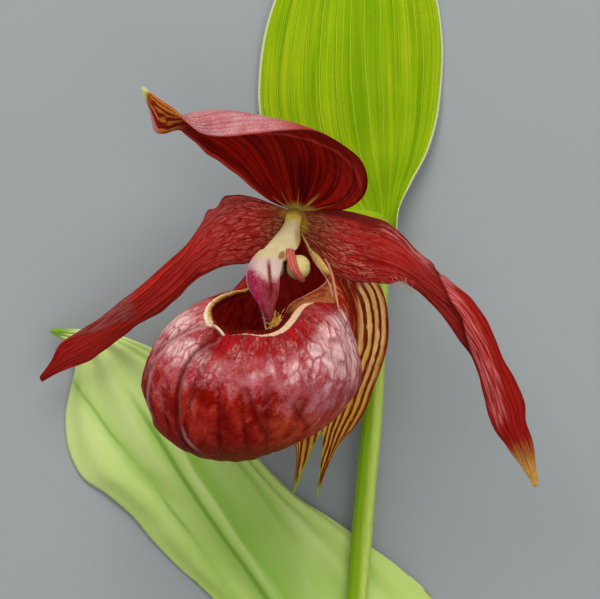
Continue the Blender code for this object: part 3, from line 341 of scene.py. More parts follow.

# Folds of the pouch: depth, width of the steep and of the easy side in mm, how dark its painted shade is,
# how light the painted highlight on its crest is, and its path as x and y on the level plane of LIP_CENTRE
LIP_FOLDS = (
    (0.8, 0.3, 4.0, 0.6, 1.0, (
        (-15.4, 10.1), (-17.6, 9.5), (-19.8, 8.5), (-22.1, 7.3), (-24.4, 5.4), (-25.7, 3.8),
        (-26.6, 2.3),
    )),
    (0.65, 0.3, 3.0, 0.6, 0.8, (
        (-26.6, 2.3), (-27.1, 0.9), (-27.8, -2.7), (-28.0, -5.3), (-27.3, -7.9), (-26.3, -10.7),
    )),
    (0.7, 0.35, 3.2, 0.9, 0.25, (
        (-12.6, 7.2), (-15.6, 6.0), (-17.9, 4.4), (-19.6, 2.1), (-20.8, -0.8), (-21.5, -4.0),
        (-21.5, -8.0), (-21.1, -10.9),
    )),
    (0.9, 0.35, 3.2, 1.0, 1.0, (
        (-21.2, -10.2), (-20.8, -11.6), (-20.0, -13.3), (-18.6, -14.8), (-17.0, -16.2),
    )),
    (0.32, 0.45, 2.4, 0.5, 0.0, (
        (-11.8, 6.8), (-14.2, 5.0), (-15.6, 3.8), (-16.9, -0.1), (-17.0, -4.3), (-16.2, -8.1),
    )),
    (0.42, 0.45, 2.8, 0.6, 0.05, (
        (-7.8, -2.1), (-7.0, -5.1), (-5.8, -8.1), (-4.2, -11.3), (-2.9, -13.8),
    )),
    (0.3, 0.45, 2.4, 0.6, 0.1, (
        (0.9, -4.7), (2.3, -7.3), (4.5, -10.1), (5.7, -11.7),
    )),
    (0.25, 0.45, 2.4, 0.5, 0.0, (
        (-12.8, -4.7), (-12.2, -9.1), (-10.6, -13.1),
    )),
    (0.08, 0.6, 1.0, 0.3, 0.0, (
        (1.5, 7.6), (4.3, 8.1), (8.5, 6.9), (12.9, 6.0),
    )),
    (0.08, 0.6, 1.0, 0.34, 0.0, (
        (3.9, 5.8), (6.7, 4.8), (9.5, 3.3), (13.8, 0.5),
    )),
    (0.08, 0.6, 1.0, 0.28, 0.0, (
        (5.3, 10.8), (8.9, 10.0), (12.1, 8.8),
    )),
)
# Share round the rim, and how far down the wall keeps the rim's own width
LIP_EASE = ((0.0, 1.0), (0.5, 1.0), (0.57, 0.45), (0.76, 0.4), (0.82, 1.0))
# Soft patches of the pouch: x, y, half width and half height in mm, strength
# White patches: partly the pouch's own pale cells, partly painted highlight
LIP_PALE_AND_HIGHLIGHT = (
    (8.9, 5.4, 5.8, 5.8, 1.12), (1.6, 0.8, 5.2, 3.0, 0.62), (-7.0, 1.4, 6.0, 2.6, 0.34),
    (-1.5, 3.4, 2.0, 1.0, 0.5), (-15.8, 1.4, 3.6, 3.4, 0.6), (-20.6, 5.4, 5.0, 3.0, 0.75),
    (-24.6, 0.6, 2.6, 3.6, 0.42), (-17.0, 5.4, 3.2, 1.8, 1.0), (-22.3, 4.2, 3.4, 3.4, 0.45),
    (-20.8, 10.6, 5.4, 2.8, 1.1), (11.7, 12.0, 2.6, 2.2, 0.7), (9.7, -5.6, 4.5, 3.0, 0.32),
    (12.6, 5.0, 2.6, 6.5, 0.9),
)
# Pink band: partly the pouch's own pink, partly painted sheen where it faces up
LIP_PINK_AND_SHEEN = (
    (-22.3, 2.2, 6.0, 5.0, 0.75), (-13.6, 2.4, 7.0, 4.0, 0.8), (-4.5, 0.4, 7.0, 4.4, 0.85),
    (4.9, 0.2, 7.0, 6.0, 1.0), (11.7, 5.0, 5.0, 9.0, 1.0), (-24.3, 8.0, 5.0, 5.0, 0.8),
    (-18.5, 12.8, 8.0, 4.0, 1.0), (10.7, 13.8, 4.0, 4.0, 0.9), (9.7, -4.8, 5.0, 4.0, 0.6),
)
LIP_RED = (
    (-4.5, 6.0, 6.5, 2.6, 1.0), (-11.0, 5.6, 5.0, 2.6, 0.95), (2.0, 8.2, 4.6, 3.2, 1.0),
    (5.2, 11.6, 3.0, 2.4, 0.75), (8.2, 13.6, 3.6, 1.3, 1.0), (-17.2, 8.0, 4.2, 1.2, 0.7),
    (-14.0, 7.8, 2.4, 1.6, 0.9),
)
# Share round the rim, and half width of its pale edge in mm
RIM_BAND = (
    (0.0, 0.03), (0.045, 0.03), (0.06, 0.8), (0.11, 0.85), (0.2, 0.45), (0.28, 0.1), (0.4, 0.0),
    (0.62, 0.0), (0.64, 0.05), (0.7, 0.05), (0.72, 0.0), (0.79, 0.0), (0.81, 0.45), (0.86, 0.75),
    (0.9, 0.6), (0.94, 0.2), (0.97, 0.12),
)
# Share round the rim, and how much of its roll is olive or brown
RIM_OLIVE = ((0.0, 0.0), (0.05, 0.0), (0.08, 1.0), (0.28, 1.0), (0.36, 0.2), (0.44, 0.0), (0.93, 0.0))
RIM_BROWN = ((0.0, 0.0), (0.36, 0.0), (0.44, 1.0), (0.8, 1.0), (0.835, 0.8), (0.86, 0.0))
# Thin strands and a curled tooth: path as x, y, z and radius in mm
SHIELD_FRINGE = (
    (-7.2, 17.2, 40.2, 0.18), (-6.4, 16.0, 41.0, 0.24), (-5.4, 14.5, 41.8, 0.26),
    (-4.4, 12.0, 42.6, 0.26), (-3.8, 8.9, 43.0, 0.2),
)
LIP_STRANDS = (
    (
        (7.9, 22.9, 45.5, 0.12), (8.8, 21.0, 46.6, 0.22), (9.5, 18.5, 47.6, 0.24),
        (10.0, 15.6, 48.0, 0.24), (10.6, 12.6, 48.4, 0.14),
    ),
    (
        (8.1, 19.0, 47.6, 0.12), (8.8, 17.6, 48.2, 0.2), (9.3, 15.4, 48.6, 0.12),
    ),
)
LIP_TOOTH = (
    (-14.1, 9.9, 55.4, 0.12), (-13.5, 9.7, 56.3, 0.26), (-12.6, 8.9, 57.0, 0.32),
    (-11.9, 8.0, 57.2, 0.28), (-11.5, 7.6, 56.6, 0.1),
)
# Bumps of a petal's margins: x and y on the level plane, how far out and how wide in mm
LEFT_BUMPS = (
    (-16.2, 32.5, 0.75, 1.1), (-13.8, 33.9, -0.8, 1.3), (-12.2, 35.3, 0.55, 1.2),
    (-25.3, 11.8, 0.3, 2.0), (-40.0, 11.2, 0.4, 1.2),
)
RIGHT_BUMPS = ((10.5, 32.4, 0.6, 4.5), (29.8, 22.7, 0.35, 1.2), (30.9, 21.0, -0.6, 1.1))
# Lines on the blades, as x and y on the same level plane in mm
LEAF_CHANNELS = (
    (
        (-46.7, 8.4), (-44.8, 3.0), (-42.0, -1.7), (-37.9, -7.0), (-34.7, -11.7), (-30.5, -16.4),
        (-26.9, -20.6), (-22.7, -26.9), (-18.5, -32.1), (-14.3, -37.9), (-9.8, -44.9), (-3.0, -54.0),
        (3.0, -61.5), (8.0, -68.3), (11.2, -79.0),
    ),
    (
        (-46.7, 8.6), (-38.0, 4.5), (-31.0, -3.5), (-24.9, -13.1), (-19.5, -21.7), (-15.3, -27.9),
        (-11.1, -34.2), (-6.4, -40.5), (-2.7, -45.7), (2.2, -54.0), (6.1, -61.8), (9.4, -68.3),
        (11.6, -79.0),
    ),
    (
        (-46.7, 8.8), (-36.0, 6.5), (-26.0, -3.5), (-17.8, -19.0), (-12.2, -26.9), (-8.0, -33.7),
        (-3.3, -41.0), (-0.7, -45.7), (4.2, -54.0), (7.6, -61.8), (10.2, -68.3), (12.0, -79.0),
    ),
)
HOOD_RIM = (
    (-11.4, 47.7), (-8.0, 48.0), (-4.6, 48.1), (0.1, 47.9), (5.3, 46.7), (10.5, 44.4), (13.8, 41.3),
    (15.1, 38.1), (15.2, 35.5),
)
# Lines where a petal folds over itself, as x and y in mm
RIGHT_FOLD = (
    (29.5, 23.0), (31.0, 19.0), (33.0, 14.5), (35.2, 11.4), (36.2, 7.2), (37.8, 2.6), (38.4, -1.0),
)
LEFT_FOLD = ((-30.0, 10.6), (-34.0, 10.4), (-38.0, 8.4), (-41.5, 7.6), (-46.0, 5.4))


# ---------------------------------------------------------------- curves and grids


def unit(vectors):
    """The vectors at length one."""
    length = np.linalg.norm(vectors, axis=-1, keepdims=True)
    return vectors / np.maximum(length, 1e-9)


def spline(values, at, closed=False):
    """Catmull-Rom curve through evenly keyed values, read at 0..1."""
    values = np.asarray(values, float)
    count = len(values)
    if closed:
        place = (np.asarray(at) % 1.0) * count
        key = np.floor(place).astype(int) % count
        step = place - np.floor(place)
        before, start, end, after = [values[(key + k) % count] for k in (-1, 0, 1, 2)]
    else:
        place = np.asarray(at) * (count - 1)
        key = np.clip(np.floor(place).astype(int), 0, count - 2)
        step = place - key
        first = 2 * values[0] - values[1]
        last = 2 * values[-1] - values[-2]
        padded = np.concatenate([[first], values, [last]])
        before, start, end, after = [padded[key + k] for k in (0, 1, 2, 3)]
    if values.ndim > 1:
        step = step.reshape(step.shape + (1,) * (values.ndim - 1))
    linear = end - before
    square = 2 * before - 5 * start + 4 * end - after
    cube = 3 * start - before - 3 * end + after
    return 0.5 * (2 * start + linear * step + square * step**2 + cube * step**3)


def even_keys(points, count, closed=False):
    """Keys that step evenly along the curve through the points."""
    fine = np.linspace(0, 1, 801)
    steps = np.linalg.norm(np.diff(spline(points, fine, closed), axis=0), axis=1)
    length = np.concatenate([[0], np.cumsum(steps)])
    share = np.arange(count) / count if closed else np.linspace(0, 1, count)
    return np.interp(share * length[-1], length, fine)


def arc(start, end, bow, normal, share):
    """Circular arc from start to end, bowed along the normal."""
    half = 2 * np.arctan(bow)
    half = np.where(np.abs(half) < 1e-4, 1e-4, half)[:, None]
    turn = (2 * share - 1) * half
    along = (1 + np.sin(turn) / np.sin(half)) / 2
    out = (np.cos(turn) - np.cos(half)) / (2 * np.sin(half))
    chord = end - start
    size = np.linalg.norm(chord, axis=1)[:, None]
    return start[:, None] + chord[:, None] * along[..., None] + (normal * size)[:, None] * out[..., None]


def blade_grid(rows, length_steps, half_steps):
    """Points of a blade: two arcs a row that meet at the midrib."""
    rows = np.asarray(rows, float)
    row = spline(rows, even_keys(rows[:, 3:6], length_steps + 1))
    left, mid, right = row[:, 0:3], row[:, 3:6], row[:, 6:9]
    left_way = unit(np.gradient((left + mid) / 2, axis=0))
    right_way = unit(np.gradient((right + mid) / 2, axis=0))
    share = np.linspace(0, 1, half_steps + 1)[None]
    left_arc = arc(left, mid, row[:, 9], unit(np.cross(mid - left, left_way)), share)
    right_arc = arc(mid, right, row[:, 10], unit(np.cross(right - mid, right_way)), share)
    return np.concatenate([left_arc, right_arc[:, 1:]], 1)


def cross_curves(knots, share):
    """Smooth curves through the knots of each row."""
    return spline(np.moveaxis(knots, 1, 0), share).transpose(1, 0, 2)


def soft_grid(rows, length_steps, half_steps):
    """Points of a blade whose two halves run smoothly into each other."""
    return cross_curves(blade_grid(rows, length_steps, 2), np.linspace(0, 1, 2 * half_steps + 1))


def grid_normals(grid):
    """Unit normals of a grid of points."""
    return unit(np.cross(np.gradient(grid, axis=1), np.gradient(grid, axis=0)))


def grid_places(grid):
    """Place of each point of a blade: 0..1 from base to tip, and -1..1 from margin to margin."""
    along = np.linspace(0, 1, grid.shape[0])[:, None]
    side = np.linspace(-1, 1, grid.shape[1])[None]
    return along + 0 * side, side + 0 * along


def raised(grid, height):
    """A blade moved out along its own normals, by a height in mm at each point."""
    return grid + grid_normals(grid) * height[..., None]


def rise(value, low, high):
    """Smooth step: 0 below low, 1 above high, with a cubic between them."""
    step = np.clip((value - low) / (high - low), 0, 1)
    return step * step * (3 - 2 * step)


def pleat_wave(along, side, count):
    """Height of the pleats: a cosine across the blade that fades out at base, tip and margins."""
    fade = np.clip((along - 0.22) / 0.15, 0, 1) * np.clip((1 - along) / 0.15, 0, 1)
    return fade * np.cos(math.pi * count * side) * np.clip((1 - np.abs(side)) / 0.2, 0, 1)


def ripple(along, side, waves, seed):
    """Height of a margin's ruffle: three sines along the blade that grow towards the margins."""
    shift = np.random.default_rng(seed).random((2, 3)) * TURN
    share = rise(side, -0.05, 0.05)
    height = 0
    for k, rate in enumerate((1.0, 1.7, 2.9)):
        left, right = [np.sin(TURN * waves * rate * along + shift[edge, k]) for edge in (0, 1)]
        height = height + (left * (1 - share) + right * share) / (k + 1.5)
    return height * np.abs(side) ** 3 * np.clip(along / 0.15, 0, 1) * np.clip((1 - along) / 0.1, 0, 1)


def patches(points, spots):
    """Sum of soft round patches over x and y: a Gaussian each, and a quarter of what overlaps."""
    total = 0
    for x, y, wide, high, strength in spots:
        off = ((points[..., 0] - x) / wide) ** 2 + ((points[..., 1] - y) / high) ** 2
        patch = strength * np.exp(-0.7 * off)
        total = np.maximum(total, patch) + 0.25 * np.minimum(total, patch)
    return total


def line_offset(points, path):
    """Signed distance in mm from each point to a path in x and y, more than 0 left of the path."""
    path = np.asarray(path, float)
    start, way = path[:-1], np.diff(path, axis=0)
    off = points[..., None, :2] - start
    share = np.clip((off * way).sum(-1) / (way ** 2).sum(-1), 0, 1)
    off = off - share[..., None] * way
    far = np.linalg.norm(off, axis=-1)
    left = np.sign(way[:, 0] * off[..., 1] - way[:, 1] * off[..., 0])
    return np.take_along_axis(far * left, far.argmin(-1)[..., None], -1)[..., 0]


def level(points):
    """Points carried along their lines from the camera to the level plane of LIP_CENTRE, as x and y."""
    middle, height = np.array(CAMERA[:2]), CAMERA[2]
    share = (height - LIP_CENTRE[2]) / (height - points[..., 2:])
    return middle + (points[..., :2] - middle) * share


def frill(grid, bumps):
    """A blade whose margins stand out, or in, near the bumps: a Gaussian each."""
    side = grid_places(grid)[1]
    flat = level(grid)
    reach = 0
    for x, y, far, wide in bumps:
        reach = reach + far * np.exp(-((flat - np.array([x, y])) ** 2).sum(-1) / wide ** 2)
    return grid + unit(np.gradient(grid, axis=1)) * (reach * side * np.abs(side) ** 3)[..., None]


def bell(share, place, width):
    """Height of a Gaussian round the rim: 1 at a place on it, given as a share of the way round."""
    gap = (share - place + 0.5) % 1.0 - 0.5
    return np.exp(-(gap / width) ** 2)[:, None]


def round_rim(share, keys):
    """Straight steps between keys of share and value, joined right round the rim."""
    return np.interp(share, *np.transpose(keys), period=1.0)


# ---------------------------------------------------------------- meshes


def quads(rows, columns, closed=False):
    """Four-cornered faces of a grid of points; a closed grid joins its last column to its first."""
    last = columns if closed else columns - 1
    row, column = np.meshgrid(np.arange(rows - 1), np.arange(last), indexing="ij")
    here = row * columns + column
    beside = row * columns + (column + 1) % columns
    return np.stack([here, beside, beside + columns, here + columns], -1).reshape(-1, 4)


def close_poles(mesh):
    """Merges the points that meet at a pole, and turns every face outwards."""
    work = bmesh.new()
    work.from_mesh(mesh)
    bmesh.ops.remove_doubles(work, verts=work.verts, dist=1e-7)
    bmesh.ops.recalc_face_normals(work, faces=work.faces)
    work.to_mesh(mesh)
    work.free()


def add_mesh(name, points, faces, fields, look, node, poles=False):
    """Puts a mesh given in mm into the scene; fields are numbers or vectors kept on its points."""
    mesh = bpy.data.meshes.new(name)
    mesh.from_pydata((np.asarray(points) * MM).tolist(), [], [list(map(int, face)) for face in faces])
    mesh.update()
    for field, values in fields.items():
        values = np.asarray(values, np.float32)
        kind, key = ("FLOAT_VECTOR", "vector") if values.ndim > 1 else ("FLOAT", "value")
        mesh.attributes.new(field, kind, "POINT").data.foreach_set(key, values.ravel())
    if poles:
        close_poles(mesh)
    mesh.polygons.foreach_set("use_smooth", [True] * len(mesh.polygons))
    mesh.materials.append(look)
    made = bpy.data.objects.new(name, mesh)
    bpy.context.scene.collection.objects.link(made)
    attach(made, "root")
    if node:
        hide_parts(node)


def shell(grid, half):
    """Points and faces of a blade that goes half mm out on both sides of its grid, closed all round."""
    rows, columns = grid.shape[:2]
    count = rows * columns
    out = grid_normals(grid) * half[..., None]
    points = np.concatenate([(grid + out).reshape(-1, 3), (grid - out).reshape(-1, 3)])
    front = quads(rows, columns)
    index = np.arange(count).reshape(rows, columns)
    ring = np.concatenate([index[0, :-1], index[:-1, -1], index[-1, :0:-1], index[:0:-1, 0]])
    following = np.roll(ring, -1)
    rim = np.stack([ring, ring + count, following + count, following], -1)
    return points, np.vstack([front, front[:, ::-1] + count, rim])


def sheet(name, grid, thickness, look, node, slot, towards=ABOVE, **more):
    """A blade with two faces and a thin margin; the face that looks towards a point has side 1."""
    along, side = grid_places(grid)
    base = slice(len(grid) // 12, len(grid) // 2)
    sense = np.sign(((np.array(towards) - grid[base]) * grid_normals(grid)[base]).sum())
    thin = 1 - 0.75 * np.abs(side) ** 14 - 0.2 * rise(along, 0.85, 1.0)
    points, faces = shell(grid, thickness / 2 * thin)
    fields = {"along": along, "across": side, **more}
    fields = {key: np.tile(values.ravel(), 2) for key, values in fields.items()}
    fields["side"] = np.repeat([sense > 0, sense < 0], side.size).astype(float)
    add_mesh(name, points, faces, fields, look, node)


def ring_frame(path, steps):
    """A path's ring centres, its way, and two directions square to it."""
    path = np.asarray(path, float)
    if path.shape[1] == 4:
        path = np.hstack([path, path[:, 3:4]])
    ring = spline(path, even_keys(path[:, :3], steps + 1))
    way = unit(np.gradient(ring[:, :3], axis=0))
    reference = np.array([1.0, 0.0, 0.05])
    side = unit(reference - way * (way @ reference)[:, None])
    return ring, way, side, np.cross(way, side)


def tube(name, path, steps, sides, look, node, swell=None, floor=None):
    """A stalk along a path: an ellipse at each step, with low domes at both ends.

    swell gives each point's extra radius in mm, and no point goes below the floor.
    """
    ring, way, side, front = ring_frame(path, steps)
    turn = (np.arange(sides) * TURN / sides)[None]
    along = np.linspace(0, 1, steps + 1)
    extra = swell(along[:, None], turn) if swell else 0
    wide = (np.cos(turn) * (ring[:, 3:4] + extra))[..., None] * side[:, None]
    deep = (np.sin(turn) * (ring[:, 4:5] + extra))[..., None] * front[:, None]
    body = ring[:, None, :3] + wide + deep
    caps = []
    for end, sense in ((0, -1), (-1, 1)):
        centre = ring[end, :3]
        caps.append([centre + (body[end] - centre) * share + way[end] * sense * dome * ring[end, 4]
                     for share, dome in CAP_RINGS])
    rows = np.concatenate([caps[0][::-1], body, caps[1]])
    if floor is not None:
        rows[..., 2] = np.maximum(rows[..., 2], floor)
    spread = np.zeros(rows.shape[:2])
    cut = np.array([1 - share for share, dome in CAP_RINGS])
    none = np.zeros(len(cut))
    cut = np.concatenate([cut[::-1], 0 * along, cut])[:, None] + spread
    along = np.concatenate([none, along, none + 1])[:, None] + spread
    ring_way = np.stack([np.cos(turn) + spread, np.sin(turn) + spread, along], -1)
    fields = {"along": along.ravel(), "cut": cut.ravel(), "ring": ring_way.reshape(-1, 3)}
    add_mesh(name, rows.reshape(-1, 3), quads(len(rows), sides, closed=True), fields, look, node,
             poles=True)


def loft(name, rows, steps, sides, look, node):
    """A closed form through flat ellipses; a row is its left and right edge and its depth."""
    share = np.linspace(0, 1, steps + 1)
    row = spline(rows, share)
    left, right = row[:, 0:3], row[:, 3:6]
    middle, half = (left + right) / 2, (right - left) / 2
    front = unit(np.cross(unit(np.gradient(middle, axis=0)), half))
    front = front * np.sign(front[:, 2:3]) * row[:, 6:7]
    turn = (np.arange(sides) * TURN / sides)[None, :, None]
    body = middle[:, None] + np.cos(turn) * half[:, None] + np.sin(turn) * front[:, None]
    points = np.concatenate([middle[0] + 0 * body[:1], body, middle[-1] + 0 * body[-1:]])
    fields = {"along": np.repeat(np.concatenate([[0], share, [1]]), sides)}
    add_mesh(name, points.reshape(-1, 3), quads(steps + 3, sides, closed=True), fields, look, node,
             poles=True)


def hairs(name, roots, ways, length, thick, look, droop=(0, 0, 0)):
    """Fine hairs: three-sided spikes that leave their roots along the ways and bend by droop."""
    ways = unit(ways)
    count = len(roots)
    helper = np.where(np.abs(ways[:, 2:]) < 0.8, [[0, 0, 1.0]], [[1.0, 0, 0]])
    side = unit(np.cross(ways, helper))
    other = np.cross(ways, side)
    size = (np.ones(count) * length)[:, None]
    bend = np.asarray(droop) * size
    middle = roots + ways * size * 0.55 + bend * 0.3
    tip = roots + ways * size + bend
    corners = []
    for centre, radius in ((roots - ways * 0.08, thick), (middle, thick * 0.7)):
        for angle in (0, TURN / 3, TURN * 2 / 3):
            corners.append(centre + (side * math.cos(angle) + other * math.sin(angle)) * radius)
    points = np.stack(corners + [tip], 1)
    low = np.array([[0, 1, 4, 3], [1, 2, 5, 4], [2, 0, 3, 5]])
    high = np.array([[3, 4, 6], [4, 5, 6], [5, 3, 6], [2, 1, 0]])
    start = (np.arange(count) * 7)[:, None, None]
    faces = (low + start).reshape(-1, 4).tolist() + (high + start).reshape(-1, 3).tolist()
    fields = {"along": np.tile([0, 0, 0, 0.55, 0.55, 0.55, 1.0], count)}
    add_mesh(name, points.reshape(-1, 3), faces, fields, look, None)


def stalk_hairs(path, steps, rows, count, lengths, seed):
    """Roots on a stalk, from one row of its rings to another, with ways that stand off and lengths."""
    ring, _, side, front = ring_frame(path, steps)
    draw = np.random.default_rng(seed)
    row = draw.integers(*rows, count)
    turn = (draw.random(count) * TURN)[:, None]
    out = side[row] * np.cos(turn) + front[row] * np.sin(turn)
    ways = out + draw.normal(0, 0.25, out.shape)
    return ring[row, :3] + out * ring[row, 3:4], ways, draw.uniform(*lengths, count)


def margin_hairs(grid, count, spread, seed, lowest):
    """Roots on both margins of a blade that are high enough, and ways that point outwards."""
    draw = np.random.default_rng(seed)
    place = draw.random((2, count)) * (grid.shape[0] - 2)
    key = place.astype(int)
    step = (place - key)[..., None]
    roots, ways = [], []
    for k, (edge, inner) in enumerate(((0, 3), (-1, -4))):
        line, beside = grid[:, edge], grid[:, inner]
        roots.append(line[key[k]] * (1 - step[k]) + line[key[k] + 1] * step[k])
        out = unit(line - beside)[key[k]]
        ways.append(out + draw.normal(0, spread, out.shape))
    roots, ways = np.concatenate(roots), np.concatenate(ways)
    high = roots[:, 2] > lowest
    return roots[high], ways[high]


# ---------------------------------------------------------------- shader expressions


class Wire:
    """A shader value; arithmetic on it adds Math nodes."""

    def __init__(self, look, socket):
        self.look = look
        self.socket = socket

    def math(self, operation, *values):
        """A Math node with its values in order."""
        return self.look.node("ShaderNodeMath", {"operation": operation}, dict(enumerate(values)))

    def __add__(self, other):
        return self.math("ADD", self, other)

    def __sub__(self, other):
        return self.math("SUBTRACT", self, other)

    def __rsub__(self, other):
        return self.math("SUBTRACT", other, self)

    def __neg__(self):
        return self.math("SUBTRACT", 0.0, self)

    def __mul__(self, other):
        return self.math("MULTIPLY", self, other)

    def __truediv__(self, other):
        return self.math("DIVIDE", self, other)

    def __pow__(self, other):
        return self.math("POWER", self, other)

    __radd__ = __add__
    __rmul__ = __mul__

    def most(self, other):
        """The greater of two values."""
        return self.math("MAXIMUM", self, other)

    def size(self):
        """The value without its sign."""
        return self.math("ABSOLUTE", self)

    def fade(self, low, high):
        """Smooth step from 0 at low to 1 at high."""
        values = {"Value": self, "From Min": low, "From Max": high}
        return self.look.node("ShaderNodeMapRange", {"interpolation_type": "SMOOTHSTEP"}, values)

    def wave(self):
        """Cosine between 0 and 1 that peaks at every whole number."""
        return self.math("COSINE", self * TURN) * 0.5 + 0.5


class Look:
    """A material and its one Principled shader; constants are set on the shader's own sockets."""

    def __init__(self, name, **constants):
        self.material = bpy.data.materials.new(name)
        self.material.use_nodes = True
        self.nodes = self.material.node_tree.nodes
        self.links = self.material.node_tree.links
        self.shader = self.nodes["Principled BSDF"]
        self.kept = {}
        for key, value in constants.items():
            self.feed(self.shader.inputs[key.replace("_", " ")], value)

    def feed(self, socket, value):
        """Links a wire to a socket, or sets the socket."""
        if isinstance(value, Wire):
            self.links.new(value.socket, socket)
        elif socket.type == "RGBA":
            socket.default_value = (*value[:3], 1.0)
        else:
            socket.default_value = value

    def node(self, kind, settings, values, output=0):
        """Any node: its settings first, then the values or wires of its sockets."""
        made = self.nodes.new(kind)
        for key, value in settings.items():
            setattr(made, key, value)
        for key, value in values.items():
            self.feed(made.inputs[key], value)
        return Wire(self, made.outputs[output])

    def field(self, name):
        """A number kept on the mesh; it is read once."""
        if name not in self.kept:
            self.kept[name] = self.node("ShaderNodeAttribute", {"attribute_name": name}, {}, "Fac")
        return self.kept[name]

    def fields(self, *names):
        """Several numbers kept on the mesh."""
        return [self.field(name) for name in names]

    def ring(self):
        """The vector that each point of a stalk or of the pouch keeps: its way round, and how far along."""
        return self.node("ShaderNodeAttribute", {"attribute_name": "ring"}, {}, "Vector")

    def part(self, vector, index):
        """One part of a vector."""
        return self.node("ShaderNodeSeparateXYZ", {}, {0: vector}, index)

    def spot(self):
        """Object coordinates in mm: all three as a vector, then x and y."""
        if not self.kept.get("spot"):
            whole = self.node("ShaderNodeTexCoord", {}, {}, "Object")
            scaled = self.vectors("SCALE", whole, 1 / MM)
            self.kept["spot"] = (scaled, self.part(scaled, 0), self.part(scaled, 1))
        return self.kept["spot"]

    def vectors(self, operation, vector, other):
        """Vector Math of a vector and another, or of a vector and the number that scales it."""
        key = "Scale" if operation == "SCALE" else 1
        return self.node("ShaderNodeVectorMath", {"operation": operation}, {0: vector, key: other})

    def stretch(self, vector, sizes):
        """A vector times another, part by part."""
        return self.vectors("MULTIPLY", vector, sizes)

    def vector(self, x, y):
        """A level vector from two values."""
        return self.node("ShaderNodeCombineXYZ", {}, {0: x, 1: y, 2: 0.0})

    def noise(self, vector, scale=1.0, detail=2.0, rough=0.5, output=0):
        """Noise between 0 and 1; output 1 is a colour of three noises."""
        values = {"Vector": vector, "Scale": scale, "Detail": detail, "Roughness": rough}
        return self.node("ShaderNodeTexNoise", {}, values, output)

    def weave(self, across, along, detail=2.0):
        """Noise over a blade, from two values that count its grains across and along it."""
        return self.noise(self.vector(across, along), 1.0, detail)

    def jitter(self, vector, scale, amount):
        """A vector moved about by noise."""
        centred = self.vectors("SUBTRACT", self.noise(vector, scale, 1.0, output=1), (0.5, 0.5, 0.5))
        return self.vectors("ADD", vector, self.vectors("SCALE", centred, amount))

    def net(self, vector):
        """Distance to the nearest edge between cells."""
        settings = {"feature": "DISTANCE_TO_EDGE"}
        return self.node("ShaderNodeTexVoronoi", settings, {"Vector": vector, "Scale": 1.0})

    def cells(self, vector):
        """A random number for each cell."""
        colour = self.node("ShaderNodeTexVoronoi", {}, {"Vector": vector, "Scale": 1.0}, 1)
        return self.node("ShaderNodeSeparateColor", {}, {0: colour})

    def patch(self, centre_x, centre_y, angle, long, wide):
        """Soft ellipse over x and y, in mm: 1 at its middle, 0 outside it; angle in degrees."""
        _, x, y = self.spot()
        turn = math.radians(angle)
        across, up = x - centre_x, y - centre_y
        first = (across * math.cos(turn) + up * math.sin(turn)) / long
        second = (up * math.cos(turn) - across * math.sin(turn)) / wide
        return (first * first + second * second).fade(1.0, 0.0)

    def mix(self, one, two, mask):
        """Colour one where the mask is 0, colour two where it is 1."""
        values = {0: mask, 6: one, 7: two}
        return self.node("ShaderNodeMix", {"data_type": "RGBA", "clamp_factor": True}, values, 2)

    def paint(self, ground, *coats):
        """A ground with colours laid over it in order, each where its mask is 1."""
        for colour, mask in coats:
            ground = self.mix(ground, colour, mask)
        return ground

    def two_faced(self, back, front):
        """One colour on a wall's back, another on its front."""
        return self.mix(back, front, self.field("side").fade(0.45, 0.55))

    def finish(self, colour, roughness=None, height=None, depth=0.1, through=None):
        """Feeds the shader; height is in units of depth, in mm; through is a painted glow, an emission
        standing in for light that passes a wall.
        """
        feeds = {"Base Color": colour}
        if through is not None:
            feeds.update({"Emission Color": through, "Emission Strength": 1.0})
        if roughness is not None:
            feeds["Roughness"] = roughness
        if height is not None:
            values = {"Strength": 1.0, "Distance": depth * MM, "Height": height}
            feeds["Normal"] = self.node("ShaderNodeBump", {}, values)
        for key, value in feeds.items():
            self.feed(self.shader.inputs[key], value)
        return self.material


def tissue(name, weight, radius, **more):
    """A look for living tissue: a little light passes under its skin."""
    return Look(name, Subsurface_Weight=weight, Subsurface_Radius=radius, Subsurface_Scale=MM,
                **{"Specular_IOR_Level": 0.03, **more})


def dim(colour, share):
    """A colour at a share of its brightness."""
    return tuple(share * part for part in colour)


# ---------------------------------------------------------------- settings


def tint(name, description, default):
    """A colour that a user may change."""
    return FloatVectorProperty(name=name, description=description, default=default, size=3,
                               min=0.0, max=1.0, subtype="COLOR")


def span(name, description, default, top):
    """A length in mm that a user may change."""
    return FloatProperty(name=name, description=description, default=default, min=0.05, max=top,
                         subtype="DISTANCE", unit="NONE")


def power(name, description, default):
    """A light's power in watts that a user may change."""
    return FloatProperty(name=name, description=description, default=default, min=0.0, unit="POWER")


class GreenSettings(bpy.types.PropertyGroup):
    """Stem, ovary and leaves."""

    leaf_thickness: span("Leaf thickness", "Thickness of both leaves, in mm", 0.5, 1.0)
    stem_green: tint("Stem green", "Shaded side of the stem", (0.24, 0.42, 0.012))
    # Painted light: the lighter colour of the stem's lit side, partly its own colour
    stem_lit_side: tint("Stem light", "Light side of the stem", (0.58, 0.72, 0.14))
    leaf_pale: tint("Leaf pale", "Pale parts of the leaf", (0.66, 0.80, 0.30))
    leaf_green: tint("Leaf green", "Body of the leaf", (0.48, 0.66, 0.14))
    leaf_deep: tint("Leaf deep", "Channels of the leaf", (0.28, 0.52, 0.06))
    bract_green: tint("Bract green", "Body of the bract", (0.30, 0.46, 0.003))
    bract_deep: tint("Bract deep", "Darker lanes of the bract", (0.17, 0.33, 0.001))
    bract_vein: tint("Bract vein", "Pale veins of the bract", (0.50, 0.66, 0.03))
    hair: tint("Hair", "Fine hairs on the green pieces", (0.70, 0.74, 0.55))
    hair_length: span("Hair length", "Length of the hairs on the stem, in mm", 0.7, 3.0)


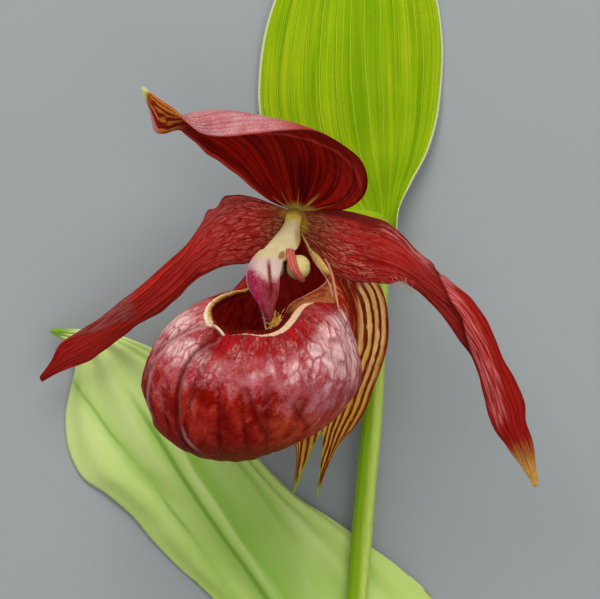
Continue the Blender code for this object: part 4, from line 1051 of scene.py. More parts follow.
class SepalSettings(bpy.types.PropertyGroup):
    """Dorsal sepal, petals and synsepal."""

    thickness: span("Thickness", "Thickness of sepals and petals, in mm", 0.4, 1.0)
    hood_red: tint("Hood red", "Inner face of the dorsal sepal", (0.36, 0.007, 0.003))
    hood_dark: tint("Hood dark", "Dark veins of the dorsal sepal", (0.085, 0.0015, 0.001))
    hood_back: tint("Hood back", "Outer face of the dorsal sepal", (0.50, 0.17, 0.18))
    tip_orange: tint("Tip orange", "Ground of the dorsal sepal's tip", (0.66, 0.21, 0.03))
    petal_red: tint("Petal red", "Face of the petals", (0.50, 0.026, 0.020))
    petal_deep: tint("Petal deep", "Lower half of the petals", (0.36, 0.014, 0.010))
    petal_dark: tint("Petal dark", "Veins of the petals", (0.17, 0.003, 0.002))
    petal_pink: tint("Petal pink", "Backs of the petals", (0.50, 0.10, 0.095))
    fleck: tint("Fleck", "Pale flecks near the base of the right petal", (0.68, 0.22, 0.12))
    synsepal_yellow: tint("Synsepal yellow", "Ground of the synsepal", (0.70, 0.43, 0.055))
    synsepal_red: tint("Synsepal red", "Stripes of the synsepal", (0.17, 0.008, 0.003))
    throat: tint("Throat", "Yellow-green at the dorsal sepal's base", (0.50, 0.42, 0.07))


class LipSettings(bpy.types.PropertyGroup):
    """The pouch."""

    thickness: span("Wall", "Thickness of the pouch's wall, in mm", 0.6, 1.2)
    red: tint("Red", "Saturated red under the rim", (0.45, 0.010, 0.012))
    deep: tint("Deep red", "Lower half of the pouch", (0.26, 0.004, 0.001))
    glow: tint("Glow", "Lighter red clouds of the pouch", (0.46, 0.026, 0.014))
    # The pink band is partly painted sheen
    pink: tint("Pink", "Middle band of the pouch", (0.52, 0.11, 0.12))
    # The pale cells' colour also serves for the painted highlights
    white: tint("White", "Pale cells of the pouch", (0.98, 0.60, 0.57))
    net: tint("Net", "Veins between the pale cells", (0.28, 0.010, 0.018))
    cream: tint("Cream", "Rim of the mouth", (0.70, 0.46, 0.28))
    olive: tint("Olive", "Left margin of the mouth, on its inner side", (0.52, 0.30, 0.05))
    inside: tint("Inside", "Inner face of the pouch", (0.28, 0.012, 0.008))


class HeartSettings(bpy.types.PropertyGroup):
    """Column, staminode and stamens."""

    cream: tint("Column cream", "The column", (0.66, 0.55, 0.27))
    shield_white: tint("Shield white", "Upper part of the staminode", (0.64, 0.46, 0.39))
    shield_magenta: tint("Shield magenta", "Lower part of the staminode", (0.28, 0.008, 0.044))
    anther_yellow: tint("Anther yellow", "The anthers", (0.72, 0.58, 0.18))
    filament_red: tint("Filament red", "The straps over the anthers", (0.50, 0.05, 0.04))


class StudioSettings(bpy.types.PropertyGroup):
    """Floor and lights."""

    floor: tint("Floor", "The floor under the flower", (0.335, 0.36, 0.365))
    key: power("Key light", "Power of the large soft light", 9.0)
    fill: power("Fill light", "Power of the light near the camera", 2.2)
    sky: FloatProperty(name="Sky", description="Strength of the light from all round", default=0.36,
                       min=0.0)


GROUPS = {
    "orchid_green": GreenSettings,
    "orchid_sepals": SepalSettings,
    "orchid_lip": LipSettings,
    "orchid_heart": HeartSettings,
    "orchid_studio": StudioSettings,
}


# ---------------------------------------------------------------- green pieces


def stalk_look(name, green, light, painted_shade_from=None):
    """Green stalk, lighter on one side, partly by painted light, with a pale cut end; left of a given x, in
    mm, a painted shade turns it dark red.
    """
    look = tissue(name, 0.12, (0.5, 0.9, 0.2), Roughness=0.5)
    spot, x, _ = look.spot()
    cloud = look.noise(look.stretch(spot, (1, 0.12, 1)), 0.9, 3.0)
    fine = look.noise(look.stretch(spot, (1, 0.06, 1)), 5.0)
    pith = look.mix((0.62, 0.70, 0.36), (0.44, 0.52, 0.22), look.noise(spot, 3.0).fade(0.4, 0.7))
    colour = look.paint(
        green,
        # Lighter on one side: partly the stalk's own colour, partly painted light
        (light, (look.part(look.ring(), 0) + (cloud - 0.5) * 0.5).fade(-0.15, 0.75)),
        (dim(green, 0.72), fine.fade(0.5, 0.8) * 0.5),
        (pith, look.field("cut").fade(0.05, 0.2)))
    # Painted shade: left of the given x the stalk lies in the flower's shadow and turns dark red
    if painted_shade_from is not None:
        colour = look.mix(colour, (0.14, 0.012, 0.004), x.fade(painted_shade_from, painted_shade_from - 3.0))
    return look.finish(colour, 0.42 + fine * 0.2, fine, 0.08)


def hair_look(name, colour, through=None, radius=(1.0, 0.8, 0.6), roughness=0.4, root=0.7):
    """Fine hairs of one colour, darker at their roots."""
    look = tissue(name, 0.3, radius, Roughness=roughness)
    return look.finish(look.mix(dim(colour, root), colour, look.field("along")), through=through)


def pale_hair_look(colour):
    """Pale hairs of the green pieces."""
    return hair_look("pale hair", colour, None, (1.0, 1.0, 0.8), 0.35, 0.75)


def leaf_look(s):
    """Pale soft green leaf with three dark channels along it, a light stripe and faint clouds."""
    look = tissue("pleated leaf", 0.14, (0.6, 1.0, 0.2), Roughness=0.5)
    spot = look.spot()[0]
    along, side, pleat = look.fields("along", "across", "pleat")
    edge = side.size()
    cloud, grain = look.noise(spot, 0.05, 3.0), look.noise(spot, 3.0, 3.0)
    soft = look.weave(side * 4.0, along * 5.0)
    pale = (along + (cloud - 0.5) * 1.2 + (soft - 0.5) * 0.4).fade(0.15, 0.95)
    heart = look.patch(-6.0, -28.0, -60, 34.0, 6.0) * (soft + 0.3).fade(0.3, 0.8)
    wobble = (soft - 0.5) * 1.2
    first, second, third = [look.field(f"channel_{k}") + wobble for k in (1, 2, 3)]
    dark = dim(s.leaf_deep, 0.62)
    reach = along.fade(0.82, 0.68) * along.fade(0.10, 0.28)
    wide = (first.size().fade(2.2, 0.0) * 0.35).most(second.size().fade(2.6, 0.0) * reach * 0.6)
    colour = look.paint(
        s.leaf_green,
        (s.leaf_pale, pale * 0.8 + soft.fade(0.4, 0.65) * 0.2),
        # Painted shade in the valleys of the pleats
        (s.leaf_deep, (-pleat).fade(0.3, 1.0) * 0.12),
        (s.leaf_deep, heart * 0.40),
        (s.leaf_deep, wide),
        (dark, first.size().fade(0.65, 0.0) * cloud.fade(0.3, 0.6) * 0.55),
        (dark, second.size().fade(0.8, 0.1) * reach * 0.75),
        (s.leaf_deep, (third - 0.6).fade(3.6, 0.0) * (third + 0.8).fade(0.0, 0.8) * reach * 0.85),
        (s.leaf_pale, (second - 1.9).size().fade(1.3, 0.2) * reach * 0.3),
        ((0.60, 0.70, 0.34), edge.fade(0.975, 0.995) * 0.6),
        ((0.22, 0.14, 0.05), edge.fade(0.975, 0.99) * look.noise(spot, 0.12).fade(0.56, 0.62) * 0.7),
        ((0.20, 0.40, 0.04), along.fade(0.955, 0.985)))
    return look.finish(colour, 0.46 + grain * 0.15, grain * 0.4 + pleat * 0.2)


def bract_look(s):
    """Bright yellow-green bract with thin pale veins and darker and yellower lanes between them."""
    look = tissue("veined bract", 0.15, (0.7, 1.0, 0.1), Roughness=0.5)
    spot = look.spot()[0]
    along, side = look.fields("along", "across")
    drift = (look.weave(side * 2.0, along) - 0.5) * 0.6
    band = look.weave(side * 9.0 + drift, along, 3.0)
    fine = look.weave(side * 60.0, along * 4.0)
    cloud, dots = look.noise(spot, 0.10, 3.0), look.noise(spot, 2.6, 3.0)
    body = band * 0.62 + cloud * 0.20 + (fine - 0.5) * 0.30 + (dots - 0.5) * 0.22
    lane = side * 6.5 + drift
    vein = (lane + (cloud - 0.5) * 0.3).wave() ** 120.0
    minor = (lane * 3.0 + 0.5 + (band - 0.5) * 1.2).wave() ** 26.0
    shade = (lane + 0.07 + (cloud - 0.5) * 0.3).wave() ** 16.0
    thin = fine.fade(0.30, 0.5)
    veins = (vein * (thin * 0.5 + 0.5)).most(minor * thin * band.fade(0.35, 0.6) * 0.6)
    colour = look.paint(
        s.bract_deep,
        (s.bract_green, body.fade(0.26, 0.50)),
        ((0.42, 0.50, 0.008), (body + side.size() * 0.06).fade(0.45, 0.60) * 0.8),
        (s.bract_deep, look.patch(15.0, 66.0, 88, 24.0, 7.0) * 0.45),
        (s.bract_deep, shade * band.fade(0.3, 0.6) * 0.45),
        (s.bract_vein, veins),
        (dim(s.bract_deep, 0.8), dots.fade(0.55, 0.68) * 0.35),
        ((0.74, 0.78, 0.46), (side.size() + (dots - 0.5) * 0.02).fade(0.962, 0.985)))
    return look.finish(colour, 0.42 + dots * 0.15, vein + minor * 0.4 + dots * 0.5 - shade * 0.4)


def build_stem(s):
    """The stem: a stalk with nine faint ridges; its cut end keeps the small flat it rests on."""
    tube("stem_skin", STEM_PATH, 260, 48, stalk_look("hairy green stem", s.stem_green, s.stem_lit_side),
         "stem", swell=lambda along, turn: 0.05 * np.cos(9 * turn), floor=0.0)
    roots, ways, length = stalk_hairs(STEM_PATH, 400, rows=(14, 398), count=3000, lengths=(0.5, 1.2), seed=5)
    length = s.hair_length * length
    keep = roots[:, 2] + ways[:, 2] * length > 0.3
    hairs("stem_hairs", roots[keep], ways[keep], length[keep], 0.022, pale_hair_look(s.hair),
          droop=(0, 0, -0.15))


def build_ovary():
    """The ovary: a stalk with six low ribs that fade at both ends, hairy."""
    # The ovary's lighter side is partly painted light; its end by the flower is painted shade
    tube("ovary_skin", OVARY_PATH, 120, 60,
         stalk_look("hairy ovary", (0.22, 0.38, 0.004), (0.34, 0.48, 0.01), painted_shade_from=10.0), "ovary",
         swell=lambda along, turn: 0.16 * np.cos(6 * turn) * np.sin(math.pi * along))
    roots, ways, length = stalk_hairs(OVARY_PATH, 200, rows=(5, 190), count=500, lengths=(0.4, 0.8), seed=6)
    hairs("ovary_hairs", roots, ways, length, 0.022, pale_hair_look((0.40, 0.52, 0.10)))


def build_leaf(s):
    """The leaf: two arcs a row that meet at the midrib, and five pleats."""
    depth, count = LEAF_PLEATS
    grid = blade_grid(LEAF_ROWS, 260, 44)
    wave = pleat_wave(*grid_places(grid), count)
    grid = raised(grid, depth * wave)
    channels = {f"channel_{k + 1}": line_offset(level(grid), path) for k, path in enumerate(LEAF_CHANNELS)}
    sheet("leaf_blade", grid, s.leaf_thickness, leaf_look(s), "leaf", "leaf", pleat=wave, **channels)
    roots, ways = margin_hairs(grid, count=420, spread=0.25, seed=11, lowest=0.8)
    hairs("leaf_hairs", roots, ways, 0.45, 0.02, pale_hair_look(s.hair))


def build_bract(s):
    """The bract: two arcs a row, six pleats, and a raised vein at every seventh of its half width."""
    depth, count = BRACT_PLEATS
    grid = blade_grid(BRACT_ROWS, 240, 48)
    along, side = grid_places(grid)
    veins = 0.05 * (0.5 + 0.5 * np.cos(TURN * 7 * side)) ** 8 * rise(along, 0.02, 0.15)
    grid = raised(grid, depth * pleat_wave(along, side, count) + veins)
    sheet("bract_blade", grid, s.leaf_thickness, bract_look(s), "floral_bract", "bract")
    roots, ways = margin_hairs(grid, count=1600, spread=0.3, seed=12, lowest=1.0)
    hairs("bract_hairs", roots, ways, 0.6, 0.022, pale_hair_look(s.hair))


# ---------------------------------------------------------------- sepals and petals


def hood_look(s):
    """Dorsal sepal: dark fan veins inside, frosted greyish pink outside, an orange marked tip."""
    look = tissue("dorsal sepal", 0.08, (1.0, 0.3, 0.2), Roughness=0.5)
    spot, x, y = look.spot()
    along, across, roll = look.fields("along", "across", "roll")
    drift = (look.weave(across * 3.0, along * 2.0) - 0.5) * 1.8
    broad = look.weave(across * 8.0, along * 1.2)
    streak = look.weave(across * 34.0, along * 3.0, 3.0)
    drops = look.weave(across * 5.0 + drift, along * 34.0)
    speck, frost = look.noise(spot, 3.2, 3.0), look.noise(spot, 0.35, 3.0)

    star = (across * 3.1 + (broad - 0.5) * 1.2 + 0.5).wave().fade(0.88, 0.995)
    star = along.fade(0.13, 0.02) * star * streak.fade(0.3, 0.5)
    ring = (roll * 0.62 + (broad - 0.5) * 0.5).wave().fade(0.45, 0.97) * streak.fade(0.3, 0.6)
    ring = ring * x.fade(6.0, 11.0) * roll.fade(0.0, 1.0) * roll.fade(8.0, 5.0)
    # Painted highlight: a lighter red line along the fold of the rolled rim
    crest = (roll.size() + (streak - 0.5) * 0.7).fade(0.45, 0.0) * broad.fade(0.15, 0.6)
    stripe = (across * 3.0 + drift * 0.6).wave() * 0.35 + drops * 0.85
    inner = look.paint(
        s.hood_dark,
        (s.hood_red, (broad + (streak - 0.5) * 0.8).fade(0.28, 0.60)),
        ((0.52, 0.022, 0.012), (streak + (broad - 0.5) * 0.5).fade(0.58, 0.80) * 0.6),
        (s.hood_dark, (across * 6.5 + drift).wave() ** 5.0 * 0.6),
        (s.throat, star.most(along.fade(0.05, 0.0))),
        ((0.46, 0.022, 0.016), x.fade(8.0, 15.0) * streak.fade(0.3, 0.6) * 0.6),
        # Painted highlight along the rim's fold
        ((0.54, 0.045, 0.034), crest * 0.85),
        ((0.24, 0.010, 0.005), roll.fade(-0.2, -0.7) * 0.45),
        ((0.48, 0.026, 0.020), ring * 0.35),
        (dim(s.hood_dark, 0.5), look.patch(3.4, 38.5, 92, 7.0, 1.5) * 0.8),
        (dim(s.hood_dark, 0.6), look.patch(17.0, 36.5, 70, 9.0, 2.6) * 0.7),
        (look.mix(s.tip_orange, (0.22, 0.012, 0.004), stripe.fade(0.48, 0.66)),
         along.fade(0.72, 0.82) * 0.95))

    red_end = (x + (frost - 0.5) * 6.0).fade(-4.0, 4.0)
    red_end = red_end.most((x + (frost - 0.5) * 4.0).fade(-18.0, -22.0) * 0.6)
    outer = look.paint(
        s.hood_back,
        ((0.66, 0.40, 0.42), (speck + (frost - 0.5) * 0.6).fade(0.48, 0.70) * 0.6),
        ((0.40, 0.09, 0.09), (-frost - (speck - 0.5) * 0.4).fade(-0.50, -0.30) * 0.7),
        ((0.34, 0.07, 0.07), (across * 5.0 + drift).wave() ** 14.0 * 0.5),
        (look.mix((0.28, 0.018, 0.012), (0.46, 0.09, 0.07), speck), red_end))

    margin = (across.size() + x.fade(2.0, -6.0) * 0.015).fade(0.955, 0.99)
    curl = (x * 0.94 + y * 0.34 + 7.4).fade(0.5, 0.0) * x.fade(-22.0, -24.5)
    colour = look.paint(
        look.two_faced(outer, inner),
        (look.mix((0.12, 0.004, 0.003), (0.56, 0.055, 0.038), x.fade(0.0, -6.0)), margin * 0.75),
        (look.mix((0.48, 0.12, 0.13), (0.56, 0.26, 0.28), speck), curl),
        ((0.60, 0.66, 0.22), along.fade(0.955, 0.985)))
    grain = look.noise(spot, 5.0, 3.0)
    return look.finish(colour, 0.42 + grain * 0.25, grain * 0.8 + streak * 0.8, 0.12)


def petal_ground(look, s, cells):
    """What both petals share: red with wandering veins, a net of short flecks, a darker base."""
    along, across = look.fields("along", "across")
    drift = (look.weave(across * 2.5, along * 6.0) - 0.5) * 1.6
    broad = look.weave(across * 3.5, along * 7.0)
    streak = look.weave(across * 15.0, along * 14.0, 3.0)
    fine = look.weave(across * 34.0, along * 60.0)
    vein = (across * 3.6 + drift).wave() ** 7.0
    light = (streak + (broad - 0.5) * 0.6).fade(0.50, 0.76) * along.fade(0.90, 0.50)
    cell = look.jitter(look.vector(across * cells[0] + drift, along * cells[1]), 1.1, 0.9)
    web = look.net(cell).fade(0.03, 0.26)
    near = along.fade(0.40, 0.12)
    colour = look.paint(
        s.petal_red,
        (s.petal_deep, (along + (broad - 0.5) * 0.5).fade(0.30, 0.95) * 0.6),
        ((0.50, 0.060, 0.045), light * 0.5),
        (s.petal_dark, (vein * broad.fade(0.2, 0.5) * 0.7).most(streak.fade(0.44, 0.30) * 0.45)),
        (s.petal_dark, (1.0 - web) * near * 0.22))
    return broad, streak, fine, vein, near, web * fine.fade(0.30, 0.62), colour


def petal_foot(place, streak, fine):
    """A petal's foot: a soft patch with a torn edge."""
    return (place * (1.1 + (fine - 0.5) * 2.0 + (streak - 0.5) * 0.8)).fade(0.1, 1.0) * 0.75


def petal_finish(look, s, front, vein, streak, fleck, margin, tip):
    """The petal's back, its dark margin and its tip, each a colour with its mask; and its relief."""
    back = look.mix(s.petal_pink, s.petal_dark, vein * 0.6)
    colour = look.paint(look.two_faced(back, front), margin, *tip)
    grain = look.noise(look.spot()[0], 5.0, 3.0)
    return look.finish(colour, 0.40 + grain * 0.25, grain * 0.5 + streak * 0.9 + fleck - vein, 0.13)


def left_petal_look(s):
    """Left petal: fine pinkish dashes near its base, a grey rolled strip and a bright patch by its tip."""
    look = tissue("left petal", 0.08, (1.0, 0.3, 0.2), Roughness=0.5)
    _, x, y = look.spot()
    along, across, fold = look.fields("along", "across", "fold")
    _, streak, fine, vein, near, fleck, ground = petal_ground(look, s, (10.0, 26.0))
    frost = (x * 0.55 - y + (fine - 0.5) * 3.0).fade(-35.5, -41.5) * along.fade(0.50, 0.36)
    rolled = fold.fade(-0.1, 0.5) * x.fade(-30.0, -33.0) * x.fade(-45.0, -41.0)
    bright = (-fold).fade(-0.4, 0.3) * look.patch(-38.0, 6.8, 25, 8.0, 4.0)
    front = look.paint(
        ground,
        ((0.72, 0.15, 0.11), fleck.fade(0.0, 0.7) * near * 0.85),
        ((0.44, 0.15, 0.13), frost * fine.fade(0.3, 0.7) * 0.5),
        (look.mix((0.24, 0.035, 0.012), (0.54, 0.27, 0.11), fleck.fade(0.25, 0.6)),
         (x + (streak - 0.5) * 6.0).fade(-6.5, -1.5) * 0.8),
        ((0.54, 0.30, 0.04), petal_foot(look.patch(1.8, 32.2, 0, 3.8, 2.2), streak, fine)),
        (look.mix((0.33, 0.12, 0.11), (0.20, 0.02, 0.016), streak.fade(0.4, 0.6)), rolled * 0.75),
        ((0.40, 0.020, 0.012), bright * 0.8),
        ((0.15, 0.006, 0.003), along.fade(0.88, 1.0) * 0.6))
    margin = (across.size() + (fine - 0.5) * 0.05).fade(0.93, 0.98) * 0.7
    return petal_finish(look, s, front, vein, streak, fleck * near, ((0.20, 0.010, 0.008), margin), ())


def right_petal_look(s):
    """Right petal: yellowish flecks near its base, a dark rolled margin streaked with painted highlight, a
    fold, and a pink painted sheen down its lower half.
    """
    look = tissue("right petal", 0.08, (1.0, 0.3, 0.2), Roughness=0.5)
    _, x, y = look.spot()
    along, across, fold, rolled = look.fields("along", "across", "fold", "rolled")
    broad, streak, fine, vein, near, fleck, ground = petal_ground(look, s, (15.0, 27.0))
    fleck = fleck * (broad + (streak - 0.5) * 0.6).fade(0.28, 0.52)
    edge = across.size()
    yellow = look.patch(9.0, 26.0, -50, 8.0, 5.0).most(look.patch(13.0, 22.0, -25, 7.0, 3.0))
    # The rolled margin: near-black red, streaked with lilac painted highlight
    margin_and_highlight = look.mix((0.15, 0.006, 0.004), (0.46, 0.12, 0.11),
                     (streak + (fine - 0.5) * 0.5 + (x - 20.0) * 0.02).fade(0.46, 0.72))
    brow = (y + x * 0.22 + (streak - 0.5) * 0.8).fade(33.0, 34.2) * x.fade(3.0, 6.0) * x.fade(22.0, 17.0)
    # Painted sheen: the pink lit band down the lower half, with its veins
    sheen_rose = look.paint(
        (0.68, 0.16, 0.15),
        ((0.42, 0.024, 0.018), (streak + (broad - 0.5) * 0.5).fade(0.60, 0.42)),
        (s.petal_dark, vein * 0.7))
    below = fold.fade(-0.2, 0.4) * y.fade(25.0, 22.0)
    sheen = (look.patch(36.5, 4.0, 114, 19.0, 5.0) + (streak - 0.5) * 0.5).fade(0.05, 0.5)
    above = -fold
    under = above.fade(-0.1, 0.4) * above.fade(7.0, 4.0) * y.fade(24.0, 20.0)
    shade = above.fade(1.5, 0.1) * above.fade(-0.2, 0.2) * y.fade(24.5, 22.5)
    front = look.paint(
        ground,
        ((0.24, 0.005, 0.002), (x + (streak - 0.5) * 5.0).fade(13.0, 17.0) * (0.55 + vein * 0.2)),
        ((0.60, 0.15, 0.11), fleck * near * 0.65),
        (s.fleck, fleck.fade(0.05, 0.7) * yellow.fade(0.0, 0.8) * 0.9),
        (margin_and_highlight, rolled * 0.9),
        (look.mix((0.20, 0.030, 0.012), (0.50, 0.20, 0.09), fleck.fade(0.2, 0.6)),
         (x + (streak - 0.5) * 6.0).fade(11.0, 6.0) * 0.85),
        ((0.13, 0.010, 0.008), brow * 0.85),
        ((0.56, 0.36, 0.04), petal_foot(look.patch(2.6, 31.0, 120, 4.0, 2.2), streak, fine)),
        (sheen_rose, below * sheen * (edge + (streak - 0.5) * 0.2).fade(0.95, 0.70) * 0.95),
        (look.mix((0.16, 0.008, 0.006), (0.34, 0.030, 0.024), streak.fade(0.4, 0.62)), under * 0.75),
        ((0.10, 0.004, 0.003), shade * 0.75))
    margin = (edge + (fine - 0.5) * 0.05).fade(0.92, 0.98) * 0.75
    amber = look.mix((0.60, 0.33, 0.07), (0.50, 0.12, 0.06), fine.fade(0.5, 0.7))
    tip = (amber, (along + (streak - 0.5) * 0.12).fade(0.86, 0.97))
    return petal_finish(look, s, front, vein, streak, fleck * near, ((0.17, 0.008, 0.008), margin), [tip])


def synsepal_look(s):
    """Synsepal: yellow with thin broken red stripes along it, redder towards its left, dark margins."""
    look = tissue("synsepal", 0.10, (1.0, 0.6, 0.2), Roughness=0.5)
    spot, x, y = look.spot()
    along, across = look.fields("along", "across")
    drift = (look.weave(across * 2.0, along * 4.0) - 0.5) * 0.5
    dash = look.weave(across * 12.0, along * 22.0)
    broad = look.weave(across * 4.0, along * 5.0)
    thin = look.weave(across * 30.0, along * 14.0)
    lane = (across * 6.0 + drift).wave() + (dash - 0.5) * 1.2 + (thin - 0.5) * 0.8
    stripe = lane.fade(0.60, 0.82)
    peach = (broad + (thin - 0.5) * 0.5).fade(0.32, 0.58) * y.fade(-10.0, 4.0)
    flush = (x + (broad - 0.5) * 3.0).fade(16.4, 14.2) * (y + (dash - 0.5) * 6.0).fade(2.0, 8.0)
    colour = look.paint(
        s.synsepal_yellow,
        ((0.92, 0.60, 0.25), peach),
        ((0.42, 0.10, 0.02), (dash * 0.5 + thin * 0.5).fade(0.50, 0.68) * 0.7),
        ((0.50, 0.12, 0.02), lane.fade(0.30, 0.70) * 0.7),
        (look.mix((0.36, 0.016, 0.006), (0.56, 0.20, 0.06), thin.fade(0.52, 0.66) * 0.8), flush),
        (s.synsepal_red, stripe * (1.0 - flush * 0.5) * 0.92),
        ((0.22, 0.012, 0.006), (across.size() + (dash - 0.5) * 0.04).fade(0.90, 0.96) * 0.85),
        ((0.36, 0.46, 0.07), along.fade(0.93, 0.985)))
    colour = look.two_faced(look.mix(colour, (0.45, 0.30, 0.10), 0.4), colour)
    # Painted glow: a warm emission that lifts the yellow where the petal above shades it
    through = look.mix(NO_LIGHT, (0.13, 0.08, 0.025), (1.0 - stripe) * (1.0 - flush) * y.fade(-4.0, 8.0))
    grain = look.noise(spot, 5.0, 3.0)
    return look.finish(colour, 0.42 + grain * 0.2, grain * 0.5 - stripe * 0.8, 0.12, through)


def build_hood(s):
    """The dorsal sepal: a soft blade with eight raised veins a half and a slow ruffle."""
    grid = soft_grid(DORSAL_ROWS, 260, 44)
    along, side = grid_places(grid)
    height = 0.07 * np.cos(TURN * 8 * side) * rise(along, 0.03, 0.2) * rise(along, 1.0, 0.8)
    grid = raised(grid, height + 0.25 * ripple(along, side, 2.2, seed=3))
    sheet("hood", grid, s.thickness, hood_look(s), "dorsal_sepal", "dorsal_sepal", towards=LIP_MIDDLE,
          roll=-line_offset(level(grid), HOOD_RIM))


def build_petal(s, name, rows, node, look, seed, bumps, fold, sense, step):
    """A petal: a soft blade with raised veins, ruffled margins, and a step of so many mm at its fold.

    Distances from the fold's line are more than 0 on its left, or on its right where sense is -1.
    """
    grid = soft_grid(rows, 300, 30)
    along, side = grid_places(grid)
    height = 0.06 * np.cos(TURN * 3.6 * side) * rise(along, 0.03, 0.2) + 0.22 * ripple(along, side, 5.0, seed)
    grid = frill(raised(grid, height), bumps)
    off = line_offset(grid, fold) * sense
    ends = rise(np.linalg.norm(grid[..., :2] - np.array(fold[0]), axis=-1), 0.0, 3.0)
    grid[..., 2] += step * rise(off, -0.5, 0.3) * rise(off, 6.0, 0.5) * ends
    rolled = rise(-side, 0.45, 0.7) * rise(along, 0.14, 0.22) * rise(along, 0.46, 0.42)
    sheet(name, grid, s.thickness, look, node, "petal", fold=off, rolled=rolled)
    return grid


def build_petals(s):
    """Both petals, and the longer hairs along the right one's upper edge."""
    build_petal(s, "left_petal", PETAL_LEFT_ROWS, "petal_left", left_petal_look(s), seed=21,
                bumps=LEFT_BUMPS, fold=LEFT_FOLD, sense=-1, step=0.0)
    grid = build_petal(s, "right_petal", PETAL_RIGHT_ROWS, "petal_right", right_petal_look(s), seed=22,
                       bumps=RIGHT_BUMPS, fold=RIGHT_FOLD, sense=1, step=0.7)
    count = 110
    draw = np.random.default_rng(41)
    row = draw.integers(42, 112, count)
    column = grid.shape[1] - 1 - (draw.random(count) ** 2 * 18).astype(int)
    root = grid[row, column]
    out = unit(root - grid[row, column - 3])
    ahead = unit(grid[row + 4, column] - root)
    ways = out * 0.5 + ahead * 0.8 + draw.normal(0, 0.3, out.shape) + np.array([0.0, 0.0, 0.35])
    hairs("petal_hairs", root + np.array([0.0, 0.0, 0.2]), ways, draw.uniform(1.2, 2.8, count), 0.035,
          hair_look("petal hair", (0.90, 0.40, 0.28)), droop=(0, 0, -0.3))


def build_synsepal(s):
    """The synsepal: smooth curves through five points a row, with seven low ridges a half."""
    rows = np.asarray(SYNSEPAL_ROWS, float)
    row = spline(rows, np.linspace(0, 1, 241)).reshape(241, 5, 3)
    grid = cross_curves(row, np.linspace(0, 1, 97))[:, ::-1]
    grid = raised(grid, 0.06 * np.cos(TURN * 7 * grid_places(grid)[1]))
    sheet("synsepal_blade", grid, s.thickness, synsepal_look(s), "synsepal", "synsepal")


# ---------------------------------------------------------------- the lip


def lip_radius(ways):
    """Distance of the pouch from its centre along each direction: a superellipsoid over its outline."""
    outline = spline(LIP_OUTLINE, np.arctan2(ways[..., 1], ways[..., 0]) / TURN, closed=True)
    depth = np.where(ways[..., 2] > 0, LIP_FRONT_DEPTH, LIP_BACK_DEPTH)
    wide = np.hypot(ways[..., 0], ways[..., 1]) / outline
    return (wide ** LIP_POWER + np.abs(ways[..., 2] / depth) ** LIP_POWER) ** (-1 / LIP_POWER)


def lip_folds(points):
    """Depth in mm of the folds, signed distance to the nearest one, the strength of its painted shade and of
    the painted highlight on its crest.

    A fold is steep on one side and eases off on the other; it fades out towards both ends.
    """
    flat = level(points)
    front = rise(points[..., 2], 30.0, 36.0)
    depth, dark, light = np.zeros((3,) + flat.shape[:2])
    nearest = depth + 9.0
    for deep, steep, easy, shade, shine, path in LIP_FOLDS:
        off = line_offset(flat, path)
        first, last = [np.linalg.norm(flat - np.array(end), axis=-1) for end in (path[0], path[-1])]
        fade = front * rise(first, 0.0, 2.0) * rise(last, 0.0, 3.0)
        depth = depth + deep * fade * np.exp(-np.abs(off / np.where(off > 0, steep, easy)) ** 1.5)
        close = np.abs(off) < np.abs(nearest)
        nearest = np.where(close, off, nearest)
        dark = np.where(close, shade * fade, dark)
        light = np.where(close, shine * fade, light)
    return depth, nearest, dark, light


def lip_lanes(share, down):
    """The pouch's long veins, from 0 to 1: a cosine round the pouch whose phase wanders."""
    lane = share + LIP_VEIN_DRIFT * down
    phase = 1.6 * np.sin(TURN * 3 * lane) + 1.1 * np.sin(TURN * 7 * lane + 6 * down)
    return 0.5 + 0.5 * np.cos(TURN * LIP_VEINS * lane + phase)


def lip_wrinkles(share, down):
    """Fine relief in mm: wrinkles that leave the rim, and shallow lanes down the body."""
    rim = np.clip(down / 0.03, 0, 1) * np.exp(-down / 0.08)
    fine = np.cos(TURN * 61 * share + 3 * np.sin(TURN * 5 * share)) * 0.05
    fine = fine + np.cos(TURN * 37 * share + 2 * np.sin(TURN * 7 * share)) * 0.07
    return fine * rim + 0.17 * (lip_lanes(share, down) - 0.5) * rise(down, 0.08, 0.3) * rise(down, 0.95, 0.7)


def lip_body(crest, rows):
    """Pouch from the crest of the rim down to its lowest point, one column for each crest point.

    A column falls round the centre from its crest to the pole, and its radius runs from the
    crest's own to the superellipsoid's by a cubic.
    """
    centre = np.array(LIP_CENTRE)
    axis = unit(np.array(LIP_AXIS))
    right = unit(np.array([1.0, 0.0, 0.0]) - axis * axis[0])
    up = np.cross(axis, right)
    reach = crest - centre
    size = np.linalg.norm(reach, axis=1)
    way = reach / size[:, None]
    fall = np.arccos(way @ axis)
    turn = np.unwrap(np.arctan2(way @ up, way @ right))
    share = np.arange(len(crest)) / len(crest)
    even = turn.mean() + np.sign(turn[-1] - turn[0]) * TURN * (share - share.mean())
    down = np.linspace(0, 1, rows + 1)[:, None]
    turned = (turn + (even - turn) * (1 - (1 - down) ** 2))[..., None]
    fallen = (fall + (math.pi - fall) * down)[..., None]
    flat = np.sin(fallen)
    ways = flat * np.cos(turned) * right + flat * np.sin(turned) * up + np.cos(fallen) * axis
    radius = lip_radius(ways)
    spare = size - radius[0]
    near = np.clip(down / (np.clip(0.30 + 0.018 * spare, 0.2, 0.7) * round_rim(share, LIP_EASE)), 0, 1)
    radius = radius + spare * (1 - near) ** 2 * (1 + 2 * near)
    radius = radius - lip_wrinkles(share, down)
    radius = radius - lip_folds(centre + ways * radius[..., None])[0]
    return centre + ways * radius[..., None]


